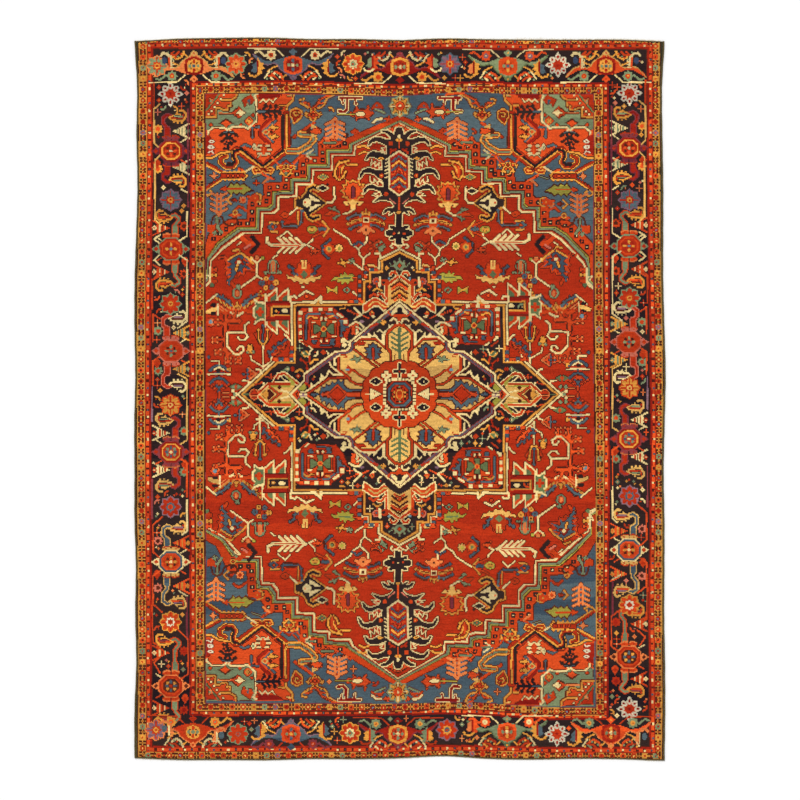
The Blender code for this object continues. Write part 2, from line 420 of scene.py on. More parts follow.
# Main border, with its vines, flower heads, palmettes, curled leaves and fans on navy.
# Round flower with eight pointed petals; dyes of its edge, petals, ring, heart, and dot and rays
BLOSSOM = """
@shape 1 0,0 3.9,6 3.4,9 0,11.5 -3.4,9 -3.9,6
@shape 2 0,0 2.4,5.5 2,8.5 0,10.5 -2,8.5 -2.4,5.5
*line:1.2 5 0,4.4 0,9
petals:8 3 0,0 4.4,0.6
oval 4 0,0 2.6,2.6
oval 5 0,0 1.2,1.2
"""
# Round flower of eight pale loops, the four main ones pointed
LOOPED = """
petals:8 rust 0,0 9,0.8
*shape ivory 0,4 3,7 2,10.5 0,13 -2,10.5 -3,7
*oval madder 0,8.3 1.2,1.8
place:45 at 0,0
*oval ivory 0,7.6 2.8,3.2
*oval madder 0,7.8 1.1,1.4
oval brick 0,0 4.6,4.6
oval madder 0,0 1.5,1.5
"""
# Toothed leaf that points left, its right end curled up and over; edge, core and bar
CURLED_LEAF = """
line:2.2 1 -7,-2 -1,-3.6 5,-3.4 7.6,0 7.6,4 5,6.6 2,6
line:1.2 1 -7,0.5 -2,2.6 3,2.4
dots:1.8 1 -4,-5 0,-5.8 4,-5.6 -1,4
line:1.6 2 -6,-1 4.6,-1.2 5.4,3
line:1.8 3 -3.5,0.8 4,0.6
dots:2.2 1 -8.5,-0.5
"""
# Flower seen from the side, opening to the right in bars, with two long arms; pale and bright
FAN = """
shape 1 -9,0 3,5 5,2 5,-2 3,-5
=line:1.7 1 -2,2 8,7.2
line:1.4 2 -4,-1.5 -4,1.5 | 1.2,-3.2 1.2,3.2
line:1 brown -1.5,-2.4 -1.5,2.4
shape 2 4,0 7,2.8 9,0 7,-2.8
dots 1 7,0
"""
# Diamond bud that points right; edge and fill
BUD = """
shape 1 -5,1.2 -1,4 5,0 -1,-4 -5,-1.2
shape 2 -2.5,0 0,2.3 2.6,0 0,-2.3
"""
# Middle of a palmette, nested octagons with a four-petalled cross; outline, body, rim, panel, hearts, cross
# and centre
EYE = """
gem:0.55 1 0,0 12.6,11.6
gem:0.55 2 0,0 11.4,10.4
gem:0.55 3 0,0 9.4,8.6
gem:0.55 4 0,0 7.8,7
#oval 5 3.4,2.9 1.5,1.5
*oval 6 0,4.2 1.3,1.9
oval 7 0,0 1.7,1.4
"""
# Petals and threads that crown the eye; dyes of thread, petal and tip
EYE_CROWN = """
line:1.2 1 10,9 15,12
+oval 2 4.4,13 4.2,2.4
+line 3 1,15 4.4,15.6 8,14
+dots:1.6 brick 5,13
"""
# The long sides. Each palmette has a curled leaf, a fan and a small flower above and below, strung on a
# thick stem, and stands between two blossoms. The next one is turned over left to right.
# Columns: y on the left side, y on the right, heights of leaf and fan above, fan and leaf below, then dyes of
# the outline, body, rim, panel, hearts, cross and centre; stem and its edge; leaf edge, core and bar; fan
# and its bars; small flower.
SIDE_PALMETTES = [
    (248, 251, 34, 20, -16, -29, "mulberry madder gold brick brown orange cream",
     "mulberry madder", "gold brick sage", "cream sage", "gold orange"),
    (150, 153, 32, 21, -23, -35, "sage brick rust brick madder gold sky",
     "rust sage", "gold orange brick", "orange cream", "rust brown"),
    (48, 57, 33, 18, -18, -34, "pink rust brick rust brown sage slate",
     "pink brick", "cream brown mauve", "gold sage", "sage rust"),
    (-53, -40, 32, 19, -18, -33, "mulberry madder gold brick sage slate cream",
     "mulberry brick", "straw brick sage", "cream brick", "sage rust"),
    (-163, -151, 34, 19, -24, -40, "cream slate orange rust brown gold cream",
     "straw slate", "straw rust mauve", "orange gold", "pink brown"),
    (-287, -258, 45, 33, -22, -33, "salmon brick rust brown gold slate brick",
     "rust sage", "gold rust mulberry", "rust cream", "brick madder"),
]
# Columns: y on the left side, y on the right, dyes of petal edge, petals, ring, heart.
SIDE_BLOSSOMS = [
    (305, 306, "looped"),
    (199, 199, "mauve slate brick gold"),
    (95, 101, "sage brick rust gold"),
    (-6, 11, "rust gold brick straw"),
    (-108, -97, "mauve brick slate rust"),
    (-223, -206, "gold rust ivory brick"),
    (None, -310, "looped"),
]


for number, (left, right, leaf_up, fan_up, fan_down, leaf_down, *dyes) in enumerate(SIDE_PALMETTES):
    faces, stem, leaf, fans, flowers = (names.split() for names in dyes)
    over = (-1) ** number
    for pen in (Pen(-229, left, flip=(over, 1)), Pen(229, right, flip=(-over, 1))):
        for up, leaf_at, fan_at in ((1, leaf_up, fan_up), (-1, leaf_down, fan_down)):
            bends = [(-4, 9 * up), (-4, fan_at + 3 * up), (-8, fan_at + 8 * up), (-8, leaf_at - up),
                     (-4, leaf_at + 2 * up), (-1, leaf_at + up)]
            for dye, width in ((stem[0], 4.4), (stem[1], 2.2)):
                pen.stroke("line", dye, bends, width)
                pen.stroke("line", dye, [(-4, 12 * up), (-4, 22 * up)], width + 2.6)
            pen.at(7, leaf_at, flip=(1, up)).draw(CURLED_LEAF, *leaf)
            pen.at(10, fan_at).draw(FAN, *fans)
            pen.at(-13, fan_at + 2 * up).flower(4.2, *flowers)
            thread, tip = "cream" if up > 0 else "orange", "salmon" if number % 2 else "rust"
            pen.at(flip=(1, up)).draw(EYE_CROWN, thread, stem[0], tip)
        pen.at(15, 0).draw(BUD, faces[0], faces[3])
        pen.at(-15, 0, flip=(-1, 1)).draw(BUD, faces[0], faces[3])
        pen.draw(EYE, *faces)
        pen.at(-14, -13, -90).draw(BUD, "rust", "brick")
for left, right, dyes in SIDE_BLOSSOMS:
    for x, y in ((-229.5, left), (229.5, right)):
        if y is not None:
            Pen(x, y).draw(LOOPED if dyes == "looped" else BLOSSOM, *dyes.split(), "brick")


# The ends. Palmettes lie along the border, with two lens-shaped pods on one side and two crowns on the other.
# Dyes: body, edge, rim, panel, heart and centre, three of the pods' flowers, three of the crowns, and the
# vine
END_PALMETTE = """
+line 13 9,9 17,16 45,16.5
+shape 1 0,9 8,8 14,6 20,3.5 28,4.5 36,9 40,12 39,8 32,2 25,0 19,2 15,0 13,-4 9,-7 3,-11 0,-12
+line:1.2 2 40,11 32,2 25,0 19,2 15,0 13,-4 9,-7 3,-11 2,-14
+line:1.4 gold 16,-1 20,-2.5 25,-6
+shape 1 0,17 2,15 4.5,13.5 2.2,11.5 0,9
+shape 2 0,-16 3.4,-13 0,-9
+dots:2 5 0,13 0,-13
+shape 3 0,9.5 8.5,7 9.8,0 8.5,-7 0,-10
+shape 4 0,6.8 6,5 7,0 6,-5 0,-7.4
#oval 5 0,4.2 1.5,2
+oval sage 4.2,0 1.5,1.8
+dots:1.7 brown 3,2.8 3,-2.8
oval 6 0,0 1.8,1.8
flower:5 7/8/9 22,10 | -22,10
line:2 7 28,9 31,11.5 34,14 38,12.5 | -28,9 -31,11.5 -34,14 -38,12.5
+line:2.2 10 10,-14.6 12.6,-9 17,-6.6 21.4,-9.4
+line:2 rust 15,-14.6 18,-11.4 24,-11
+line:1.8 11 20,-14.4 22.6,-12.4
+dots:2.2 11 12.8,-12 18.6,-8.4
+dots:2 12 16,-9.6 21.4,-6.6 26,-13.4
+line:1.5 gold 7,-10 10,-12.6
+line:1.6 cream 23.4,-6 28,-12.6
"""
# Upright leaf with barbs on the right and its foot curled left; barbs, core, back and foot
BARBED_LEAF = """
shape 1 0,9 2,5 6,4 4,1 7,-1 3,-3 5,-6 0,-8 -2,-4 -2,4
shape 3 -2,5 -6,2 -5,-1 -7,-4 -3,-6 -1,-4 -1,3
line:1.7 2 -0.5,6 -0.5,-5
line:1.9 4 1,-7 -3,-9.5 -8,-8.5 -9,-6.5
"""
# Upright leaf whose top hooks over to the left; edge, core and back
HOOKED_LEAF = """
line:2.4 1 -7,4.5 -5,7 -1,6.5 3,3 3.5,-5
dots:1.8 1 5.5,-1 5.5,-4.5 4.5,-7.5 2.5,-7.5
line:1.7 2 1.2,2 1.4,-7
oval 3 -3.5,-0.5 2.6,3.6
"""
# Columns: x, y, 1 for pods up or -1 for pods down, and the thirteen dyes
END_PALMETTES = [
    (-206, 333, -1, "salmon straw madder gold brick slate sage rust gold gold rust sage cream"),
    (-107, 334, 1, "slate mauve orange madder slate cream cream rust brown orange cream sage cream"),
    (0, 332, -1, "madder mulberry gold brick madder cream gold rust brick cream madder slate cream"),
    (108, 333, 1, "sage moss orange rust gold slate orange mauve cream orange cream sage cream"),
    (206, 333, -1, "orange straw madder gold brick slate sage rust gold gold rust sage cream"),
    (-207, -333, 1, "brick salmon rust gold brick sage gold orange sage cream sage rust rust"),
    (-109, -335, -1, "slate mauve orange brick slate gold mulberry rust pink orange gold sage brick"),
    (-2, -335, 1, "madder mulberry gold brick sage cream sage gold rust orange cream slate rust"),
    (107, -333, 1, "sage moss orange rust gold cream orange cream mauve rust gold sage cream"),
    (211, -334, 1, "orange salmon madder rust gold cream sage gold rust orange sage gold rust"),
]
for x, y, up, dyes in END_PALMETTES:
    Pen(x, y, flip=(1, up)).draw(END_PALMETTE, *dyes.split())
# Columns: x, y and the dyes of petal edge, petals, ring and heart.
END_BLOSSOMS = [
    (-164, 335, "sage orange salmon gold"),
    (-47, 335, "gold orange cream sage"),
    (50, 335, "slate mauve rust gold"),
    (158, 334, "looped"),
    (-162, -335, "sage brick rust pink"),
    (-50, -334, "gold brick cream sage"),
    (47, -331, "mauve brick gold slate"),
    (157, -335, "looped"),
    (-243, 333, "salmon sage rust gold"),
    (-244, -331, "salmon mauve rust gold"),
]
for x, y, dyes in END_BLOSSOMS:
    Pen(x, y).draw(LOOPED if dyes == "looped" else BLOSSOM, *dyes.split(), "brick")
# Columns: leaf, x, y, 1 or -1 where it is turned over left to right, and its dyes
END_LEAVES = [
    (HOOKED_LEAF, -232, 339, 1, "cream orange indigo"),
    (HOOKED_LEAF, -180, 339, -1, "cream orange indigo"),
    (BARBED_LEAF, -142, 332, 1, "gold madder slate gold"),
    (BARBED_LEAF, -72, 332, -1, "gold madder slate gold"),
    (BARBED_LEAF, -27, 337, 1, "orange madder sage cream"),
    (BARBED_LEAF, 32, 337, -1, "orange madder sage cream"),
    (BARBED_LEAF, 74, 331, 1, "gold madder salmon gold"),
    (BARBED_LEAF, 139, 331, -1, "gold madder slate gold"),
    (HOOKED_LEAF, 179, 339, 1, "cream orange indigo"),
    (HOOKED_LEAF, 233, 339, -1, "cream orange indigo"),
    (HOOKED_LEAF, -232, -329, 1, "salmon cream slate"),
    (HOOKED_LEAF, -182, -336, -1, "salmon cream slate"),
    (BARBED_LEAF, -139, -331, 1, "gold madder slate gold"),
    (BARBED_LEAF, -77, -331, -1, "gold madder slate gold"),
    (BARBED_LEAF, -30, -336, 1, "sage brick gold rust"),
    (BARBED_LEAF, 27, -336, -1, "sage brick gold rust"),
    (BARBED_LEAF, 73, -327, 1, "orange madder salmon gold"),
    (BARBED_LEAF, 137, -331, -1, "gold madder slate gold"),
    (BARBED_LEAF, 177, -337, 1, "gold madder slate gold"),
    (HOOKED_LEAF, 241, -337, -1, "salmon cream slate"),
]
for leaf, x, y, over, dyes in END_LEAVES:
    Pen(x, y, flip=(over, 1)).draw(leaf, *dyes.split())

# The vine along the band's long edges, which changes sides at each blossom: dye, then x,y of its corners. The
# right side repeats the left, at heights that fit its own palmettes.
SIDE_VINES = """
rust -246,316 -246,293
straw -240,295 -246,290 -246,256 -242,252
straw -240,244 -245,239 -245,179 -239,174
cream -240,164 -246,160 -241,156
cream -219,210 -212,206
mulberry -212,290 -212,192
cream -213,187 -213,163 -221,158
cream -221,144 -213,139 -213,78 -222,71
cream -241,144 -246,139 -240,134
rust -240,126 -248,119 -248,90
orange -240,80 -247,85 -247,57
orange -241,42 -247,38 -247,14
straw -222,25 -213,20 -213,-41 -219,-45
mauve -248,12 -248,-22
orange -219,-60 -213,-64 -213,-98
mulberry -248,-80 -248,-120
cream -213,-101 -213,-132 -218,-136
orange -238,-118 -247,-126 -247,-153 -240,-159
orange -240,-172 -247,-177 -247,-205 -238,-213
cream -221,-192 -213,-197
mulberry -213,-199 -213,-240
rust -248,-206 -247,-243 -238,-251
orange -222,-231 -212,-240 -212,-275 -219,-280
orange -238,-256 -246,-264 -240,-274
"""
VINE_WIDTH = 1.5
LEFT_STATIONS = [row[0] for row in SIDE_PALMETTES][::-1]
RIGHT_STATIONS = [row[1] for row in SIDE_PALMETTES][::-1]
rug = Pen()
for vine in SIDE_VINES.strip().splitlines():
    dye, corners = vine.split(" ", 1)
    left_x, left_y = spelled(corners).T
    rug.stroke("line", dye, np.stack([left_x, left_y], 1), VINE_WIDTH)
    between = (left_y > LEFT_STATIONS[0]) & (left_y < LEFT_STATIONS[-1])
    right_y = np.where(between, np.interp(left_y, LEFT_STATIONS, RIGHT_STATIONS), left_y + 3)
    rug.stroke("line", dye, np.stack([-left_x - 0.5, right_y], 1), VINE_WIDTH)

# Small fillings. The weaver leaves no wide gap on the border, the spandrels or the medallion's black: each
# takes a speck, a comma, a cross or a bud in whatever two dyes are at hand.
SPECKS = (
    "dots:2.6 1 0,0 dots 2 2.4,1.4",
    "line:1.5 1 -2.4,-1.6 0.4,-1.4 2.2,1.8 dots:1.4 2 -2.4,0.6",
    "line:1.6 1 -2.2,0 2.2,0 line:1.6 1 0,-2.2 0,2.2 dots:1.2 2 0,0",
    "gem:1 1 0,0 3,2.2 dots:1.3 2 0,0",
)
SPECK_SPACING = 1.45  # least distance between two figures, for each knot of reach


def fill_gaps(region, ground, reach, dyes):
    """Sets small figures on a ground wherever a square of it, reach knots to each side, is still open."""
    number = DYE_NUMBER[ground]
    busy = np.pad((chart != number) | ~region, reach, constant_values=True).astype(int)
    for axis in (0, 1):
        total = np.cumsum(np.insert(busy, 0, 0, axis), axis)
        size = busy.shape[axis] - 2 * reach
        busy = np.take(total, np.arange(size) + 2 * reach + 1, axis) - np.take(total, np.arange(size), axis)
    spots = np.argwhere(busy == 0)
    taken = np.zeros((0, 2))
    for row, column in spots[rng.permutation(len(spots))]:
        if not len(taken) or np.abs(taken - (row, column)).max(1).min() > SPECK_SPACING * reach:
            taken = np.vstack([taken, (row, column)])
            figure = SPECKS[rng.integers(len(SPECKS))]
            pair = rng.choice(dyes.split(), 2, replace=False)
            turn = 90.0 * rng.integers(4)
            flip = (rng.choice((-1, 1)), 1)
            Pen(knot_x[row, column], knot_y[row, column], turn, flip).draw(figure, *pair)


fill_gaps(field < -8, "navy", 3, "rust gold cream sage orange pink brick salmon")

# The field's stepped edge. In each corner of the field a flight of steps parts the red ground from the blue
# spandrel, and stripes follow it on the outside.
# For each corner, given as its sides in x and y: the corners of its steps, from the middle of the rug's end.
STEPS = {
    (-1, 1): spelled("""
    0,275 -44,253 -45,243 -67,243 -67,228 -86,228 -87,214 -103,214 -103,202 -121,201 -121,189 -126,185
    -137,185 -138,165 -156,165 -176,150 -189,137 -190,117 -195,112"""),
    (1, 1): spelled("""
    0,275 45,252 44,242 65,242 65,227 81,226 81,214 99,215 100,202 118,202 118,189 121,186 133,186 134,166
    149,166 160,159 182,136 186,129 186,115 192,110"""),
    (-1, -1): spelled("""
    -2,-279 -46,-247 -49,-240 -70,-239 -70,-232 -85,-231 -85,-214 -102,-213 -102,-198 -121,-198 -121,-191
    -126,-184 -137,-183 -138,-157 -157,-157 -175,-138 -194,-127 -196,-112"""),
    (1, -1): spelled("""
    -2,-279 43,-253 44,-242 66,-242 67,-235 74,-233 84,-233 85,-220 102,-221 102,-206 118,-206 118,-191
    124,-185 134,-185 135,-161 154,-160 169,-147 188,-131 187,-113 195,-109"""),
}
# How far outside the steps each stripe ends
STEP_STRIPES = ((15.6, "brown"), (14.8, "rust"), (7.2, "brown"), (6.4, "leaf"), (5.6, "sage"), (3.4, "brown"),
                (2.6, "brick"), (1.6, "cream"), (0.0, "brick"))
BEYOND_FIELD = 215  # past the field's sides, so that its own edge cuts the stripes off
quiet_border = chart.copy()
paint(field > 0, "slate")
for outward, dye in STEP_STRIPES:
    for sides, steps in STEPS.items():
        share = np.ones((len(steps), 2))  # of the stripe's width, by which each corner moves in x and y
        share[0] = (0, 0.6)
        share[1] = (1, 0.35)
        share[-3:] = 0.6
        outline = [*(steps + np.array(sides) * outward * share)]
        beyond = sides[0] * (BEYOND_FIELD + outward)
        outline += [(beyond, outline[-1][1]), (sides[0] * BEYOND_FIELD, 0), (0, 0)]
        rug.stroke("shape", dye, outline)

# Squares on the red stripe outside the steps: dark ones, every second one with a cream heart and the others
# with an orange one.
SQUARES_OUT = 10.5
SQUARE_PITCH = 7.6
for sides, steps in STEPS.items():
    line = steps[1:-3] + np.array(sides) * SQUARES_OUT
    squares = evenly(line, round(np.linalg.norm(np.diff(line, axis=0), axis=1).sum() / SQUARE_PITCH))
    for number, (x, y) in enumerate(squares):
        Pen(x, y).draw("gem:0.2 navy 0,0 2.2,2.2 dots:1.7 1 0,0", "cream" if number % 2 else "orange")
    Pen(*steps[-2], flip=sides).draw("line cream 0,0 1,6 6,8 4,4")


def in_quarters(motifs):
    """Draws motifs four times each. A motif's text starts with a name and four places: it is drawn as it is
    in the upper left, and turned over for the upper right, lower left and lower right."""
    for motif in motifs.strip().split("\n\n"):
        places, strokes = motif.split(": ", 1)[1].split("\n", 1)
        for (x, y), (_, flip) in zip(spelled(places), COPIES["#"]):
            Pen(x, y, flip=flip).draw(strokes)


# Corner pieces: an orange-red panel with a green inner corner, edged by a black and red band.
CORNER_PIECE = """
shape orange -196,307 -106,307 -107,299 -113,293 -114,284 -114,250 -137,231 -160,248 -170,248 -182,246
  -196,241
shape sage -196,307 -144,307 -143,278 -152,270 -156,272 -168,272 -172,270 -176,272 -187,271 -191,268 -196,270
shape orange -181,307 -164,307 -164,302 -168,300 -168,294 -171,289 -180,291 -183,290 -184,282 -196,282
  -196,287
shape brick -196,306 -181,306 -196,287
line:1.4 moss -180,306 -196,286
line:2.4 brown -162.3,306.3 -163.3,301.3 -168.3,298.3 -168.3,292.3 -171.3,292.3 -171.3,288.3 -176.3,288.3
  -179.3,290.3 -183.3,290.3 -183.3,281.3 -195.3,281.3
line:1.6 gold -163,307 -164,302 -169,299 -169,293 -172,293 -172,289 -177,289 -180,291 -184,291 -184,282
  -196,282
line:2.4 brown -168.3,298.3 -178.3,298.3
line:1.6 gold -169,299 -179,299
dots:2.2 cream -176,304 -179,300 -182,296 -185,292 -188,288 -191,285
shape salmon -191,301 -186,299 -189,294
dots:2 sage -189,298
line:1.2 salmon -181,286 -168,286
shape orange -169,286 -161,292.5 -155,286 -161,281
shape cream -164,286 -160,289.5 -154,286.5 -160,282.5 -161,285
shape rust -158,299 -152,303 -149,305 -145,299 -148,295 -153,296 -155,292
shape slate -153,299 -150,300 -150,294
shape brown -182,275 -174,281 -165,275 -170,276 -178,276
shape orange -179,275.5 -174,279 -169,275.5 -174,271
gem:0.8 orange -151,278 4.2,4.2
oval gold -151,278 2.6,2.6
dots:3 rust -189,274 -159,274 -147,284
line:1.8 cream -140,304 -143,305.5 -145.5,303 -143.5,299 -143.5,278 -152,270.5 -155,272 -168,272 -171,270
  -169,268 | -172,267.5 -173.5,270 -176,271.5 -187,271.5 -192,267.5 -192,265
shape cream -144,291 -138,288 -144,285
shape madder -196,265 -190,262 -186,246 -196,244
oval ivory -188.4,257.6 2.8,1.8 -189,252 3.2,2
dots madder -188.4,257.6 -189,252
line ivory -191.6,246.6 -188,248 -186.6,245.6
place at -171.5,260
+shape navy 0,8 4,8 8,5 10,2.6 7.6,3 4.4,4.6 3,2.6 4.4,-0.6 9.4,-3 5.6,-3 2.8,-1.2 0,-1.2
+line:2 navy 1.4,-2 3.4,-5
line:3 navy 0.6,0 -0.6,-9.4
line:2 navy 0,-9 -4,-9.6
dots:2 orange 0.4,4.4 0,-1.6
+line:1 slate 1,7.4 5,6.4
place:90 at -130,287.4
line:3.2 navy 0,12 0,-10
+line:1.9 navy 0.6,8 5,4 6.6,4.6 | 0.6,3 4,-0.6 5.6,-0.2 | 0.6,-3 4,-6.4 5.6,-6
+line:1.7 navy 0.6,-8 3,-11.4
line:1.4 slate 0,12 0,5
place at 0,0
shape madder -142,306 -115,306 -124,301 -140,299.5
line:1.2 cream -140,297 -137,300 -134,297 -131,300 -127,297 -124,300.5
line:1.6 gold -120,293.5 -115,293.5
line:1.6 straw -112,303 -108,304
line:3 madder -130,280 -140,270.5 -140,263.5 -131,256
line:2.2 slate -124,278.5 -137,267.5 -127,257.5
line:2.4 slate -141,272 -147.5,271.5 -147.5,262
shape gold -132,271 -128,275 -121,271.5 -126,268.5 | -132,263 -128,259 -121,262.5 -126,265.5
gem:1 straw -134,267 4.4,3.4
gem:1 orange -134,267 2.4,1.8
gem:1 brown -128.5,267 2.2,2.4
gem:0.9 rust -136,249 5,5.4
oval cream -140,253.2 2.6,1.2 -141.4,249.2 2.8,1.2 -140,245.4 2.6,1.2 -132,253.2 2.6,1.2 -130.6,249.2 2.8,1.2
  -132,245.4 2.6,1.2
line brown -139,251.2 -142.6,251.4 | -139,247.2 -142.6,247 | -133,251.2 -129.4,251.4 | -133,247.2 -129.4,247
line:1.2 orange -136,253 -136,245
line:1.2 cream -144,240 -139.4,244.6 -136,243.6 -132.6,244.6 -128,241
shape cream -148,252 -146,256 -142,251 -146,249
dots:1.8 sage -146,252
line:2 slate -159,252 -155,254.5 -150,252.5
line:3.4/1.9 brown/gold -106,307 -107,299 -113,293 -113,284
line:9 brown -113.5,284 -113.5,250 -137,231 -160,248 -164,248
line:6.4 brown -162,248 -166,247 -166,242 -163.5,237 -167,232.5 -174,232 -179,236 -179,241 -174,243
line:7.6/2 brick/gold -113.5,284 -113.5,250 -137,231 -160,248 -164,248
line:5.2/3.4 gold/brick -162,248 -166,247 -166,242 -163.5,237 -167,232.5 -174,232 -179,236 -179,241 -174,243
line:2.6 navy -117,284 -117,248.6 -137,233 -159,250 -166,248 -167,243 -165,238 -168,234.5 -173,234.5
line:3.2/1.9 brown/gold -196,241 -187,241.5 -181,245.5 -170,247.5
line:3.6/1.4 gold/brick -137,230 -134,227 -129,226.5 -127.5,229.5 -130,231 -132,229.5 | -137,230 -140,227
  -145,226.5 -146.5,229.5 -144,231 -142,229.5
"""
for pen in (Pen(), Pen(-2, 0, flip=(-1, 1)), Pen(-1, 5, flip=(1, -1)), Pen(-2, 0, flip=(-1, -1))):
    pen.draw(CORNER_PIECE)

